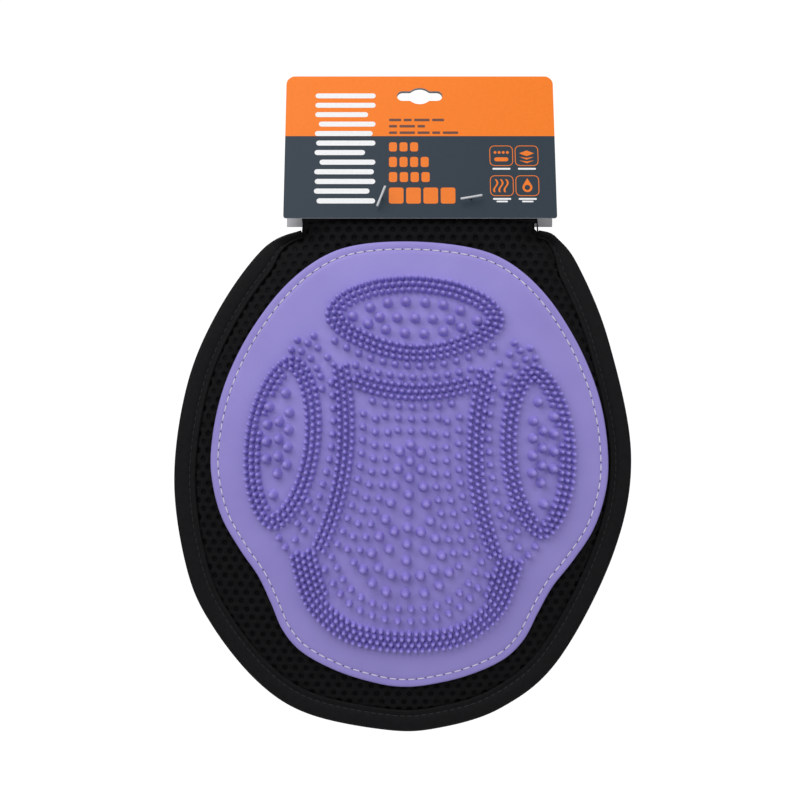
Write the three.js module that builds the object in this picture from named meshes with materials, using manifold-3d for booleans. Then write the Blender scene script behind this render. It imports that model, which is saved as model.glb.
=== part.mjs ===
// Pet grooming mitt, hanging from a folded header card.
//
// The mitt is a flat bag of air mesh with a bound edge. Its front carries a domed, nubbed rubber
// pad that is sewn on with one line of thread. The wrist mouth is at the top, between the two
// panels of the card, and two plastic tag pins hold the mitt and the card together.
//
// Millimetres. +X to the right, +Z up, and the front faces -Y. The origin is the centre of the
// card's hang slot. "Depth" is the distance forward, toward -Y, of the plane that the back of the
// mitt rests against.
import * as THREE from "three";
import { mergeVertices } from "three/addons/utils/BufferGeometryUtils.js";
import Module from "manifold-3d";

const wasm = await Module();
wasm.setup();

// ---------------------------------------------------------------- driving dimensions
const DEGREE = Math.PI / 180;
const REST_Y = 1.5; // y of the plane that the back rests against
const GAP = 0.45; // air between two layers that touch in the real mitt

const CARD_WIDTH = 115.2;
const CARD_THICKNESS = 0.6;
const CARD_BACK_DEPTH = 1.2; // rear face of the back panel
const CARD_FOLD_Z = 8.4;
const CARD_PANEL_LENGTH = 65.2;
const CARD_CORNER_RADIUS = 3.7;
const CARD_LEAN = 11.2 * DEGREE; // the front panel stands off the neck of the mitt
const CARD_FOLD_GAP = 0.3; // air between the two panels at the fold

const SLOT_LENGTH = 19.6;
const SLOT_ARM_HEIGHT = 4.5;
const SLOT_BUMP_RADIUS = 6.2;
const SLOT_BUMP_HEIGHT = 7.6;

const NECK_HALF_WIDTH = 49.5;
const NECK_RIM_Z = -40;
const NECK_FOOT_Z = -55;
const NECK_MESH_THICKNESS = 1.0; // pressed thin inside the wrist band
const NECK_BACK_DEPTH = 3.15; // middle of the rear neck panel
const NECK_FRONT_DEPTH = 10.0; // middle of the front neck panel at the rim
const NECK_FRONT_SLOPE = 0.133; // the front neck leans out below the rim
const BAND_FOOT_Z = -54;
const BAND_THICKNESS = 0.4;
const BAND_CLEARANCE = 0.15;
const SIDE_SEAM_THICKNESS = 1.2;

const SHOULDER_Z = -59.6; // upper end of the mitt's own panels
const BINDING_WIDTH = 9.3;
const BINDING_WALL = 0.6;
const BINDING_REAR_DEPTH = 0.8;
const BINDING_FRONT_DEPTH = 6.0;
const PANEL_INSET = 1.0; // panel edge inside the binding
const MESH_THICKNESS = 2.2;
const SEAM_MESH_THICKNESS = 1.55; // mesh squeezed in the bound seam
const BACK_MESH_THICKNESS = 2.6;
const FOAM_THICKNESS = 1.2;
const LINING_THICKNESS = 0.4;
const FOAM_INSET = 13; // from the pad's edge
const LINING_INSET = 11;

const CROWN_X = -4.5; // highest point of the dome
const CROWN_Z = -140;
const CROWN_DEPTH = 16.8; // of the mesh under the pad
const THROAT_DEPTH = 13.0; // of the mesh where it meets the neck

const PAD_CENTRE_X = -4.5;
const PAD_CENTRE_Z = -160.3;
const PAD_TURN = -2 * DEGREE; // the pad is sewn on slightly clockwise
const PAD_THICKNESS = 1.6;
const PAD_STITCH_INSET = 3.4;
const NUB_RADIUS = 1.9;
const NUB_TIP_RADIUS = 1.2;
const NUB_HEIGHT = 4.6;

const STITCH_WIDTH = 0.7;
const STITCH_HEIGHT = 0.3;
const STITCH_CLEARANCE = 0.2;
const PAD_STITCH_CLEARANCE = 0.35;
const EDGE_STITCH_INSET = 7.0; // from the outer edge of the binding

const PIN_BAR_LENGTH = 9.4;
const PIN_FRONT_BAR_RADIUS = 0.5;
const PIN_REAR_BAR_RADIUS = 0.4;
const PIN_FILAMENT_RADIUS = 0.35;
const PIN_REAR_DEPTH = 0.55;
const PIN_STAND_OFF = 3.2; // bar's axis in front of the card's face
const PIN_HOLE_RADIUS = 1.2;
const PINS = [
  { name: "tag_pin_left", x: -16.4, z: -46.6, barAngle: 68 * DEGREE },
  { name: "tag_pin_right", x: 21.4, z: -47, barAngle: 9.6 * DEGREE },
];

const EDGE_STEPS = 48; // steps along the free edge of the mitt
const THROAT_STEPS = 8; // steps across its open top
const PAD_STEPS = 56;

// The free edge of the mitt as X, Z, from the left shoulder round the bottom to the right one.
const FREE_EDGE = [
  [-50.9, -59.6], [-66.9, -66.3], [-86.3, -92.6], [-100.1, -125], [-105.8, -166.5],
  [-100.1, -205.9], [-88.9, -230.1], [-69.5, -253.8], [-48.3, -267.2], [-16.3, -274],
  [6.2, -273.7], [34.7, -264.9], [59.8, -243.9], [83.5, -198.1], [91.1, -155.7],
  [81.4, -106.5], [68, -73.6], [58.5, -62], [51, -59.6],
];
// One half of the pad's outline, in the pad's own axes: u across, v up. It is mirrored in v.
const PAD_HALF = [
  [0, 95], [24, 93], [40, 87], [55, 74.5], [68, 57], [77, 39.5], [82.4, 22], [84.8, 3],
  [83.5, -11], [79, -25], [70.8, -38], [62.6, -49], [56.8, -60.5], [51.4, -72], [42.8, -81],
  [28, -88.2], [12, -92.6], [0, -94],
];

// ---------------------------------------------------------------- finishes
const finish = (color, roughness, metalness = 0) =>
  new THREE.MeshStandardMaterial({ color, roughness, metalness });
const AIR_MESH = finish(0x1d1d1f, 0.9);
const TAPE = finish(0x232326, 0.8);
const FOAM = finish(0x3a3a3c, 0.95);
const LINING = finish(0x2a2a2d, 0.85);
const RUBBER = finish(0x8a7fd0, 0.45);
const PALE_THREAD = finish(0xd9d3e6, 0.7);
const DARK_THREAD = finish(0x2c2c30, 0.7);
const CARD_STOCK = finish(0xcfced3, 0.75);
const PRINTED_CARD = finish(0xff8533, 0.5);
const NYLON = finish(0xb9bcc0, 0.35);

// ---------------------------------------------------------------- helpers
const place = (x, depth, z) => new THREE.Vector3(x, REST_Y - depth, z);
const mix = (a, b, t) => a + (b - a) * t;
const smoothStep = (from, to, x) => {
  const t = Math.min(1, Math.max(0, (x - from) / (to - from)));
  return t * t * (3 - 2 * t);
};
const smoothMin = (a, b, blend) => {
  const h = Math.max(0, blend - Math.abs(a - b)) / blend;
  return Math.min(a, b) - (h * h * blend) / 4;
};

// Welds a geometry into one closed body without empty triangles, with its faces pointing out.
function closed(geometry) {
  const bare = new THREE.BufferGeometry();
  bare.setAttribute("position", geometry.getAttribute("position"));
  bare.setIndex(geometry.index);
  const welded = mergeVertices(bare, 1e-4);
  const position = welded.getAttribute("position");
  const corner = (i) => new THREE.Vector3().fromBufferAttribute(position, i);
  const kept = [];
  let volume = 0;
  for (let i = 0; i < welded.index.count; i += 3) {
    const [a, b, c] = [0, 1, 2].map((k) => welded.index.getX(i + k));
    if (a === b || b === c || c === a) continue;
    kept.push([a, b, c]);
    volume += corner(a).dot(corner(b).cross(corner(c)));
  }
  welded.setIndex((volume < 0 ? kept.map((t) => t.reverse()) : kept).flat());
  welded.computeVertexNormals();
  return welded;
}

// Moves every vertex of a geometry to where "to" sends it.
function remap(geometry, to) {
  const position = geometry.getAttribute("position");
  for (let i = 0; i < position.count; i++) {
    const moved = to(new THREE.Vector3().fromBufferAttribute(position, i));
    position.setXYZ(i, moved.x, moved.y, moved.z);
  }
  return closed(geometry);
}

function toSolid(geometry) {
  return new wasm.Manifold(
    new wasm.Mesh({
      numProp: 3,
      vertProperties: new Float32Array(geometry.getAttribute("position").array),
      triVerts: new Uint32Array(geometry.index.array),
    }),
  );
}

function toGeometry(solid) {
  const mesh = solid.getMesh();
  const geometry = new THREE.BufferGeometry();
  geometry.setAttribute("position", new THREE.BufferAttribute(mesh.vertProperties, 3));
  geometry.setIndex(new THREE.BufferAttribute(mesh.triVerts, 1));
  return closed(geometry);
}

const group = new THREE.Group();
function add(name, geometry, material) {
  const mesh = new THREE.Mesh(geometry, material);
  mesh.name = name;
  group.add(mesh);
  return mesh;
}

// A cylinder along Y between two depths.
function rodAlongDepth(x, z, radius, rearDepth, frontDepth, sides) {
  const rod = new THREE.CylinderGeometry(radius, radius, frontDepth - rearDepth, sides);
  const middle = place(x, (rearDepth + frontDepth) / 2, z);
  return closed(rod.translate(middle.x, middle.y, middle.z));
}

const pinHoles = PINS.map((pin) => rodAlongDepth(pin.x, pin.z, PIN_HOLE_RADIUS, -5, 30, 8));
function withPinHoles(geometry) {
  let solid = toSolid(geometry);
  for (const hole of pinHoles) solid = solid.subtract(toSolid(hole));
  return toGeometry(solid);
}

// A flat section of Z and depth pairs, carried straight across from one X to another.
function across(section, fromX, toX) {
  const shape = new THREE.Shape(section.map(([z, depth]) => new THREE.Vector2(z, depth)));
  const bar = new THREE.ExtrudeGeometry(shape, { depth: toX - fromX, bevelEnabled: false });
  return remap(bar, (p) => place(fromX + p.z, p.y, p.x));
}

// ---------------------------------------------------------------- header card
// The hang slot: two round-ended arms with a shallow bump above and below their middle.
function slotPath(centreY) {
  const arm = SLOT_ARM_HEIGHT / 2;
  const armCentre = SLOT_LENGTH / 2 - arm;
  const bumpSink = SLOT_BUMP_RADIUS - SLOT_BUMP_HEIGHT / 2;
  const bumpAngle = Math.acos((arm + bumpSink) / SLOT_BUMP_RADIUS);
  const quarter = Math.PI / 2;
  const path = new THREE.Path();
  path.absarc(armCentre, centreY, arm, -quarter, quarter, false);
  path.absarc(0, centreY - bumpSink, SLOT_BUMP_RADIUS, quarter - bumpAngle, quarter + bumpAngle, false);
  path.absarc(-armCentre, centreY, arm, quarter, 3 * quarter, false);
  path.absarc(0, centreY + bumpSink, SLOT_BUMP_RADIUS, -quarter - bumpAngle, -quarter + bumpAngle, false);
  return path;
}

// One card panel, with its fold edge on local Y = 0 and its print face toward local +Z.
function cardPanel(slotDrop, pinDrops) {
  const half = CARD_WIDTH / 2;
  const r = CARD_CORNER_RADIUS;
  const shape = new THREE.Shape();
  shape.moveTo(-half, -CARD_PANEL_LENGTH);
  shape.lineTo(half, -CARD_PANEL_LENGTH);
  shape.absarc(half - r, -r, r, 0, Math.PI / 2, false);
  shape.absarc(-half + r, -r, r, Math.PI / 2, Math.PI, false);
  shape.holes.push(slotPath(-slotDrop));
  PINS.forEach((pin, i) => {
    shape.holes.push(new THREE.Path().absarc(pin.x, -pinDrops[i], PIN_HOLE_RADIUS, 0, 2 * Math.PI, false));
  });
  const options = { depth: CARD_THICKNESS, bevelEnabled: false, curveSegments: 6 };
  return closed(new THREE.ExtrudeGeometry(shape, options));
}

const backPanel = add(
  "card_back_panel",
  cardPanel(CARD_FOLD_Z, PINS.map((pin) => CARD_FOLD_Z - pin.z)),
  CARD_STOCK,
);
backPanel.position.copy(place(0, CARD_BACK_DEPTH, CARD_FOLD_Z));
backPanel.rotation.x = Math.PI / 2;

const FLAP_DEPTH = CARD_BACK_DEPTH + CARD_THICKNESS + CARD_FOLD_GAP; // rear face of the flap at the fold
const leanLength = (drop) => drop / Math.cos(CARD_LEAN);
const frontPanel = add(
  "card_front_panel",
  cardPanel(leanLength(CARD_FOLD_Z), PINS.map((pin) => leanLength(CARD_FOLD_Z - pin.z))),
  PRINTED_CARD,
);
frontPanel.position.copy(place(0, FLAP_DEPTH, CARD_FOLD_Z));
frontPanel.rotation.x = Math.PI / 2 - CARD_LEAN;

// ---------------------------------------------------------------- neck and wrist band
const NECKS = [
  { side: "front", depth: NECK_FRONT_DEPTH, slope: NECK_FRONT_SLOPE },
  { side: "back", depth: NECK_BACK_DEPTH, slope: 0 },
];
for (const neck of NECKS) {
  const middle = (z) => neck.depth + (NECK_RIM_Z - z) * neck.slope;
  const halfMesh = NECK_MESH_THICKNESS / 2;
  const mesh = [
    [NECK_RIM_Z, middle(NECK_RIM_Z) - halfMesh],
    [NECK_FOOT_Z, middle(NECK_FOOT_Z) - halfMesh],
    [NECK_FOOT_Z, middle(NECK_FOOT_Z) + halfMesh],
    [NECK_RIM_Z, middle(NECK_RIM_Z) + halfMesh],
  ];
  add(`neck_${neck.side}_mesh`, withPinHoles(across(mesh, -NECK_HALF_WIDTH, NECK_HALF_WIDTH)), AIR_MESH);

  // The band is folded over the rim, so its section is a U that opens downward.
  const inner = halfMesh + BAND_CLEARANCE;
  const outer = inner + BAND_THICKNESS;
  const innerTop = NECK_RIM_Z + BAND_CLEARANCE;
  const outerTop = innerTop + BAND_THICKNESS;
  const band = [
    [BAND_FOOT_Z, middle(BAND_FOOT_Z) - outer],
    [outerTop, middle(outerTop) - outer],
    [outerTop, middle(outerTop) + outer],
    [BAND_FOOT_Z, middle(BAND_FOOT_Z) + outer],
    [BAND_FOOT_Z, middle(BAND_FOOT_Z) + inner],
    [innerTop, middle(innerTop) + inner],
    [innerTop, middle(innerTop) - inner],
    [BAND_FOOT_Z, middle(BAND_FOOT_Z) - inner],
  ];
  add(`wrist_band_${neck.side}`, withPinHoles(across(band, -NECK_HALF_WIDTH, NECK_HALF_WIDTH)), TAPE);
}

// A strip on each side joins the front and rear necks into one sleeve.
for (const [side, sign] of [["left", -1], ["right", 1]]) {
  const seam = [
    [NECK_RIM_Z, NECK_BACK_DEPTH],
    [NECK_FOOT_Z, NECK_BACK_DEPTH],
    [NECK_FOOT_Z, NECK_FRONT_DEPTH + (NECK_RIM_Z - NECK_FOOT_Z) * NECK_FRONT_SLOPE],
    [NECK_RIM_Z, NECK_FRONT_DEPTH],
  ];
  const ends = [sign * (NECK_HALF_WIDTH + GAP), sign * (NECK_HALF_WIDTH + GAP + SIDE_SEAM_THICKNESS)];
  add(`neck_side_seam_${side}`, across(seam, Math.min(...ends), Math.max(...ends)), TAPE);
}

// ---------------------------------------------------------------- surfaces of the mitt
const freeEdge = new THREE.SplineCurve(FREE_EDGE.map(([x, z]) => new THREE.Vector2(x, z)));
const edgePoints = freeEdge.getSpacedPoints(EDGE_STEPS);
// The walk goes down the left side and up the right, so the inside is always on its left.
const edgeInward = edgePoints.map((_, i) => {
  const before = edgePoints[Math.max(0, i - 1)];
  const after = edgePoints[Math.min(EDGE_STEPS, i + 1)];
  const along = after.clone().sub(before).normalize();
  return new THREE.Vector2(-along.y, along.x);
});
const onEdge = (i, inset) => edgePoints[i].clone().addScaledVector(edgeInward[i], inset);

// The distance from a point to the free edge.
function distanceToEdge(x, z) {
  const point = new THREE.Vector3(x, z, 0);
  const nearest = new THREE.Vector3();
  let best = Infinity;
  for (let i = 0; i < EDGE_STEPS; i++) {
    const a = new THREE.Vector3(edgePoints[i].x, edgePoints[i].y, 0);
    const b = new THREE.Vector3(edgePoints[i + 1].x, edgePoints[i + 1].y, 0);
    new THREE.Line3(a, b).closestPointToPoint(point, true, nearest);
    best = Math.min(best, nearest.distanceTo(point));
  }
  return best;
}

// The dome that the pad gives the front: it falls to the sides and the bottom, and only a little
// toward the neck, where the bag stays open for the hand.
const SIDE_REACH = 98;
const BOTTOM_REACH = 134;
const TOP_REACH = 80;
const SIDE_FALL = 11.3; // how far the dome falls to its sides, low on the mitt
const SIDE_FALL_TOP = 2.8; // and at the neck, where the mouth keeps it nearly flat
const BOTTOM_FALL = 11.8;
function domeDepth(x, z) {
  const across2 = ((x - CROWN_X) / SIDE_REACH) ** 2;
  const sideFall = mix(SIDE_FALL, SIDE_FALL_TOP, smoothStep(-120, -60, z));
  const below = Math.max(0, CROWN_Z - z) / BOTTOM_REACH;
  const above = Math.max(0, z - CROWN_Z) / TOP_REACH;
  return CROWN_DEPTH - sideFall * across2 - BOTTOM_FALL * below ** 2 - (CROWN_DEPTH - THROAT_DEPTH) * above ** 2;
}

// Outer surface of the front mesh: pinched in the bound seam, then up to the dome.
const SEAM_FRONT_DEPTH = 5.1;
const SEAM_REAR_DEPTH = 1.7;
const SEAM_END = BINDING_WIDTH + 0.3;
const SHOULDER_RISE = 5; // the mesh springs up beside the binding
const SHOULDER_LENGTH = 3.5;
const SHOULDER_SLOPE = 0.25;
const DOME_BLEND = 1.5;
function frontDepth(x, z) {
  const past = distanceToEdge(x, z) - SEAM_END;
  if (past <= 0) return SEAM_FRONT_DEPTH;
  const rise = SEAM_FRONT_DEPTH + SHOULDER_RISE * (1 - Math.exp(-past / SHOULDER_LENGTH)) + SHOULDER_SLOPE * past;
  return Math.max(SEAM_FRONT_DEPTH, smoothMin(domeDepth(x, z), rise, DOME_BLEND));
}
const seamShare = (x, z) => 1 - smoothStep(SEAM_END, SEAM_END + 3, distanceToEdge(x, z));
const frontInnerDepth = (x, z) =>
  frontDepth(x, z) - mix(MESH_THICKNESS, SEAM_MESH_THICKNESS, seamShare(x, z));
const backRearDepth = (x, z) => SEAM_REAR_DEPTH * seamShare(x, z);
const backFrontDepth = (x, z) =>
  mix(BACK_MESH_THICKNESS, SEAM_REAR_DEPTH + SEAM_MESH_THICKNESS, seamShare(x, z));

// A closed sheet between two depth functions. Each column is a row of X, Z points from the rim
// to the one centre that all columns share.
function sheet(columns, frontOf, rearOf) {
  const rings = columns[0].length;
  const profile = Array.from({ length: 2 * rings }, (_, k) => {
    const onAxis = k === 0 || k === 2 * rings - 1;
    return new THREE.Vector2(onAxis ? 0 : 1, k);
  });
  const lathe = new THREE.LatheGeometry(profile, columns.length);
  const position = lathe.getAttribute("position");
  for (let i = 0; i <= columns.length; i++) {
    for (let k = 0; k < 2 * rings; k++) {
      const isFront = k < rings;
      const p = columns[i % columns.length][isFront ? rings - 1 - k : k - rings];
      const moved = place(p.x, (isFront ? frontOf : rearOf)(p.x, p.y), p.y);
      position.setXYZ(i * 2 * rings + k, moved.x, moved.y, moved.z);
    }
  }
  return closed(lathe);
}

// Columns of the whole mitt: first insets from the free edge, then steps toward the centre.
const mittCentre = new THREE.Vector2(CROWN_X, -160);
function mittColumns(insets, shares) {
  const columns = edgePoints.map((_, i) => insets.map((inset) => onEdge(i, inset)));
  for (let i = 1; i < THROAT_STEPS; i++) {
    const x = mix(edgePoints[EDGE_STEPS].x, edgePoints[0].x, i / THROAT_STEPS);
    columns.push(insets.map((_, k) => new THREE.Vector2(x, SHOULDER_Z - 2 * k)));
  }
  return columns.map((column) => {
    const last = column[column.length - 1];
    return [...column, ...shares.map((share) => mittCentre.clone().lerp(last, share))];
  });
}

add(
  "front_mesh_panel",
  sheet(mittColumns([PANEL_INSET, SEAM_END, 12, 15, 20], [0.88, 0.7, 0.45, 0.2, 0]), frontDepth, frontInnerDepth),
  AIR_MESH,
);
add(
  "back_mesh_panel",
  sheet(mittColumns([PANEL_INSET, SEAM_END, SEAM_END + 3], [0.5, 0]), backFrontDepth, backRearDepth),
  AIR_MESH,
);

// ---------------------------------------------------------------- binding and its stitching
// A section of inset and depth pairs, carried along the free edge.
function alongEdge(section) {
  const shape = new THREE.Shape(section.map(([inset, depth]) => new THREE.Vector2(inset, depth)));
  const options = { depth: EDGE_STEPS, steps: EDGE_STEPS, bevelEnabled: false };
  return remap(new THREE.ExtrudeGeometry(shape, options), (p) => {
    const at = onEdge(Math.round(p.z), p.x);
    return place(at.x, p.y, at.y);
  });
}

const rearLeg = BINDING_REAR_DEPTH + BINDING_WALL;
const frontLeg = BINDING_FRONT_DEPTH - BINDING_WALL;
add(
  "edge_binding",
  alongEdge([
    [0, BINDING_REAR_DEPTH], [BINDING_WIDTH, BINDING_REAR_DEPTH], [BINDING_WIDTH, rearLeg],
    [BINDING_WALL, rearLeg], [BINDING_WALL, frontLeg], [BINDING_WIDTH, frontLeg],
    [BINDING_WIDTH, BINDING_FRONT_DEPTH], [0, BINDING_FRONT_DEPTH],
  ]),
  TAPE,
);

const stitchSection = (inset, rearDepth) => [
  [inset - STITCH_WIDTH / 2, rearDepth], [inset + STITCH_WIDTH / 2, rearDepth],
  [inset + STITCH_WIDTH / 2, rearDepth + STITCH_HEIGHT], [inset - STITCH_WIDTH / 2, rearDepth + STITCH_HEIGHT],
];
const frontStitchDepth = BINDING_FRONT_DEPTH + STITCH_CLEARANCE;
const rearStitchDepth = BINDING_REAR_DEPTH - STITCH_CLEARANCE - STITCH_HEIGHT;
add("edge_stitching_front", alongEdge(stitchSection(EDGE_STITCH_INSET, frontStitchDepth)), DARK_THREAD);
add("edge_stitching_back", alongEdge(stitchSection(EDGE_STITCH_INSET, rearStitchDepth)), DARK_THREAD);

// ---------------------------------------------------------------- pad, its stitching and filling
const padToFront = (u, v) =>
  new THREE.Vector2(u, v).rotateAround(new THREE.Vector2(), PAD_TURN)
    .add(new THREE.Vector2(PAD_CENTRE_X, PAD_CENTRE_Z));
const padLoop = [...PAD_HALF, ...PAD_HALF.slice(1, -1).map(([u, v]) => [-u, v]).reverse()];
const padCurve = new THREE.CatmullRomCurve3(
  padLoop.map(([u, v]) => new THREE.Vector3(u, v, 0)), true, "centripetal",
);

// Columns inside the pad's outline, which is walked clockwise, so the inside is on its right.
function padColumns(steps, insets, shares) {
  const centre = padToFront(0, 0);
  return Array.from({ length: steps }, (_, i) => {
    const at = padCurve.getPointAt(i / steps);
    const along = padCurve.getTangentAt(i / steps);
    const column = insets.map((inset) => padToFront(at.x + along.y * inset, at.y - along.x * inset));
    const last = column[column.length - 1];
    return [...column, ...shares.map((share) => centre.clone().lerp(last, share))];
  });
}

const padRearDepth = (x, z) => domeDepth(x, z) + GAP;
const padFrontDepth = (x, z) => padRearDepth(x, z) + PAD_THICKNESS;
const foamFrontDepth = (x, z) => frontInnerDepth(x, z) - GAP;
const foamRearDepth = (x, z) => foamFrontDepth(x, z) - FOAM_THICKNESS;
const liningFrontDepth = (x, z) => foamRearDepth(x, z) - GAP;
const liningRearDepth = (x, z) => liningFrontDepth(x, z) - LINING_THICKNESS;

// Large nubs, in the pad's own axes. A lens of three staggered rows at the top, a lens of three
// columns on each side, and nested chevrons down the middle.
function largeNubs() {
  const spots = [];
  const both = (u, v) => spots.push([u, v], [-u, v]);
  [[4, 69.3], [11.6, 68.5], [18.9, 66.4], [26, 62.5]].forEach(([u, v]) => both(u, v));
  [[4, 56.2], [12, 57.4], [19.4, 59.5]].forEach(([u, v]) => both(u, v));
  [-14.8, -7.4, 0, 7.4, 14.8].forEach((u) => spots.push([u, 62.5]));

  const SIDE_PITCH = 7.3;
  for (let row = 0; row < 5; row++) {
    const drop = row * SIDE_PITCH;
    both(60.5 - 0.18 * (row - 2) ** 2, 23.4 - drop);
    both(51.2 + 0.12 * row, 21.4 - drop);
    if (row < 4) both(55.4, 17.4 - drop);
  }
  both(53, 29.4);
  both(57, -13.4);

  const PITCH = 7;
  for (let row = 0; row < 10; row++) spots.push([0, 9.8 - row * PITCH]);
  for (let row = 0; row < 8; row++) both(columnSpread(4.2, 6.7 - row * PITCH), 6.7 - row * PITCH);
  return spots;
}
// Columns of nubs run straight below the top lens and fan out toward the bottom.
const columnSpread = (u, v) => u + 0.0045 * Math.max(0, 12 - v) ** 2;

function nubPad() {
  const columns = padColumns(PAD_STEPS, [0, 6, 14], [0.75, 0.5, 0.25, 0]);
  let solid = toSolid(sheet(columns, padFrontDepth, padRearDepth));
  const SINK = 0.8;
  for (const [u, v] of largeNubs()) {
    const at = padToFront(u, v);
    const height = NUB_HEIGHT + SINK;
    const nub = new THREE.CylinderGeometry(NUB_RADIUS, NUB_TIP_RADIUS, height, 6);
    const middle = place(at.x, padFrontDepth(at.x, at.y) - SINK + height / 2, at.y);
    solid = solid.add(toSolid(closed(nub.translate(middle.x, middle.y, middle.z))));
  }
  return toGeometry(solid);
}
add("nub_pad", nubPad(), RUBBER);

// The thread lies on the pad as a flat ring.
function padStitching() {
  const half = STITCH_WIDTH / 2;
  const outline = padColumns(PAD_STEPS, [PAD_STITCH_INSET - half, PAD_STITCH_INSET + half], []);
  const section = [[0, 0], [1, 0], [1, 1], [0, 1], [0, 0]];
  const profile = section.map(([ring]) => new THREE.Vector2(1 + ring, 0));
  const lathe = new THREE.LatheGeometry(profile, outline.length);
  const position = lathe.getAttribute("position");
  for (let i = 0; i <= outline.length; i++) {
    section.forEach(([ring, layer], k) => {
      const p = outline[i % outline.length][ring];
      const moved = place(p.x, padFrontDepth(p.x, p.y) + PAD_STITCH_CLEARANCE + layer * STITCH_HEIGHT, p.y);
      position.setXYZ(i * section.length + k, moved.x, moved.y, moved.z);
    });
  }
  return closed(lathe);
}
add("pad_stitching", padStitching(), PALE_THREAD);

const FILLING_STEPS = 40;
add(
  "foam_interlining",
  sheet(padColumns(FILLING_STEPS, [FOAM_INSET], [0.75, 0.5, 0.25, 0]), foamFrontDepth, foamRearDepth),
  FOAM,
);
add(
  "palm_lining",
  sheet(padColumns(FILLING_STEPS, [LINING_INSET], [0.75, 0.5, 0.25, 0]), liningFrontDepth, liningRearDepth),
  LINING,
);

// ---------------------------------------------------------------- tag pins
// Each pin is one nylon moulding: a cross bar, a thin filament and a second cross bar.
for (const pin of PINS) {
  const cardFace = FLAP_DEPTH + CARD_THICKNESS + (CARD_FOLD_Z - pin.z) * Math.tan(CARD_LEAN);
  const frontBarDepth = cardFace + PIN_STAND_OFF;
  const bar = (radius, depth) => {
    const middle = place(pin.x, depth, pin.z);
    return closed(
      new THREE.CylinderGeometry(radius, radius, PIN_BAR_LENGTH, 8)
        .rotateX(Math.PI / 2) // now along Z
        .rotateY(Math.PI / 2 - pin.barAngle)
        .translate(middle.x, middle.y, middle.z),
    );
  };
  const filament = rodAlongDepth(pin.x, pin.z, PIN_FILAMENT_RADIUS, PIN_REAR_DEPTH, frontBarDepth, 8);
  const solid = toSolid(bar(PIN_FRONT_BAR_RADIUS, frontBarDepth))
    .add(toSolid(bar(PIN_REAR_BAR_RADIUS, PIN_REAR_DEPTH)))
    .add(toSolid(filament));
  add(pin.name, toGeometry(solid), NYLON);
}

export default group;
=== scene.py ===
# %% [markdown]
# # A pet grooming mitt on its header card
# A flat bag of black air mesh is bound with tape round its free edge. A lilac rubber pad with more
# than a thousand nubs is sewn to its front. The wrist mouth is held between the two panels of a
# folded card by two plastic tag pins. Each step below makes one of these pieces around the CAD
# frame, which already says where everything is and how it moves.

import math

import bmesh
import bpy
import numpy as np
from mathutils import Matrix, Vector


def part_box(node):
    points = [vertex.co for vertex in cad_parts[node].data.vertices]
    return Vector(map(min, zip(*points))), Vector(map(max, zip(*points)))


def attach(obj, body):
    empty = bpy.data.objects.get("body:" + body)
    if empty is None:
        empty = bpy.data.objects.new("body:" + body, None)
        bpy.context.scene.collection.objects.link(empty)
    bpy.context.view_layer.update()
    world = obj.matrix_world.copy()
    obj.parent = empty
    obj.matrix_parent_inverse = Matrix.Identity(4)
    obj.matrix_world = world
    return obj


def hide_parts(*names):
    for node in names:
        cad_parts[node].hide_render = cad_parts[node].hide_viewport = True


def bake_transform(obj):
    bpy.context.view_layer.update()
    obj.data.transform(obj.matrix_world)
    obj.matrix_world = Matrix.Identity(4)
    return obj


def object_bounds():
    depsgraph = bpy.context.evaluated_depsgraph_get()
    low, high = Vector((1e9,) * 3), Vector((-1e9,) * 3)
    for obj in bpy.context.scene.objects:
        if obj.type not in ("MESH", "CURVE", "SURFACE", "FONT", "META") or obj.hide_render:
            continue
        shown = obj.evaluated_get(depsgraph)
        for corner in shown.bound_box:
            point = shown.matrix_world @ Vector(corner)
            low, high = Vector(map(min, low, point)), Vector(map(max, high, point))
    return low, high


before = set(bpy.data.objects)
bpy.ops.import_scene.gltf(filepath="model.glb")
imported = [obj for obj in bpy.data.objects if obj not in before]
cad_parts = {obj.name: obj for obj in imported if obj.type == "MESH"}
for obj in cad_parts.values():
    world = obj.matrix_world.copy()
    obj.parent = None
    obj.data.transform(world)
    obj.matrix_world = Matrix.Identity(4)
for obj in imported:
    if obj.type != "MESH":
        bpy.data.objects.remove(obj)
cad_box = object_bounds()
print("CAD box", [list(corner) for corner in cad_box])

# %% [markdown]
# ## The room
# The mitt hangs, so the floor is far below it. The camera stands level with the upper half of the
# pad and looks straight at it. A big soft light hangs high on the left, and a weaker one fills in
# from the right. The world lights the shadows, and it is plain white where the camera sees it.

# %% Camera
MM = 0.001
EYE = (-8.5 * MM, -420 * MM, -132 * MM)
camera = bpy.data.objects.new("camera", bpy.data.cameras.new("camera"))
camera.location = EYE
camera.rotation_euler = (math.radians(90), 0, 0)
camera.data.lens = 43.5
camera.data.sensor_width = 36
camera.data.clip_start = 0.01
bpy.context.scene.collection.objects.link(camera)
bpy.context.scene.camera = camera
bpy.context.scene.view_settings.view_transform = "Standard"


# %% Lights
def soft_box(name, spot, aim, width, watts):
    """A square light that faces a point."""
    lamp = bpy.data.lights.new(name, "AREA")
    lamp.size = width
    lamp.energy = watts
    box = bpy.data.objects.new(name, lamp)
    box.location = spot
    box.rotation_euler = (Vector(aim) - Vector(spot)).to_track_quat("-Z", "Y").to_euler()
    bpy.context.scene.collection.objects.link(box)


MIDDLE = (0, 0, -0.13)
soft_box("key_light", (-0.5, -0.75, 0.62), MIDDLE, 1.1, 11.8)
soft_box("right_light", (0.85, -0.7, 0.3), MIDDLE, 1.1, 4.8)
soft_box("low_light", (0.0, -0.75, -1.0), MIDDLE, 0.9, 1.8)

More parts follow.
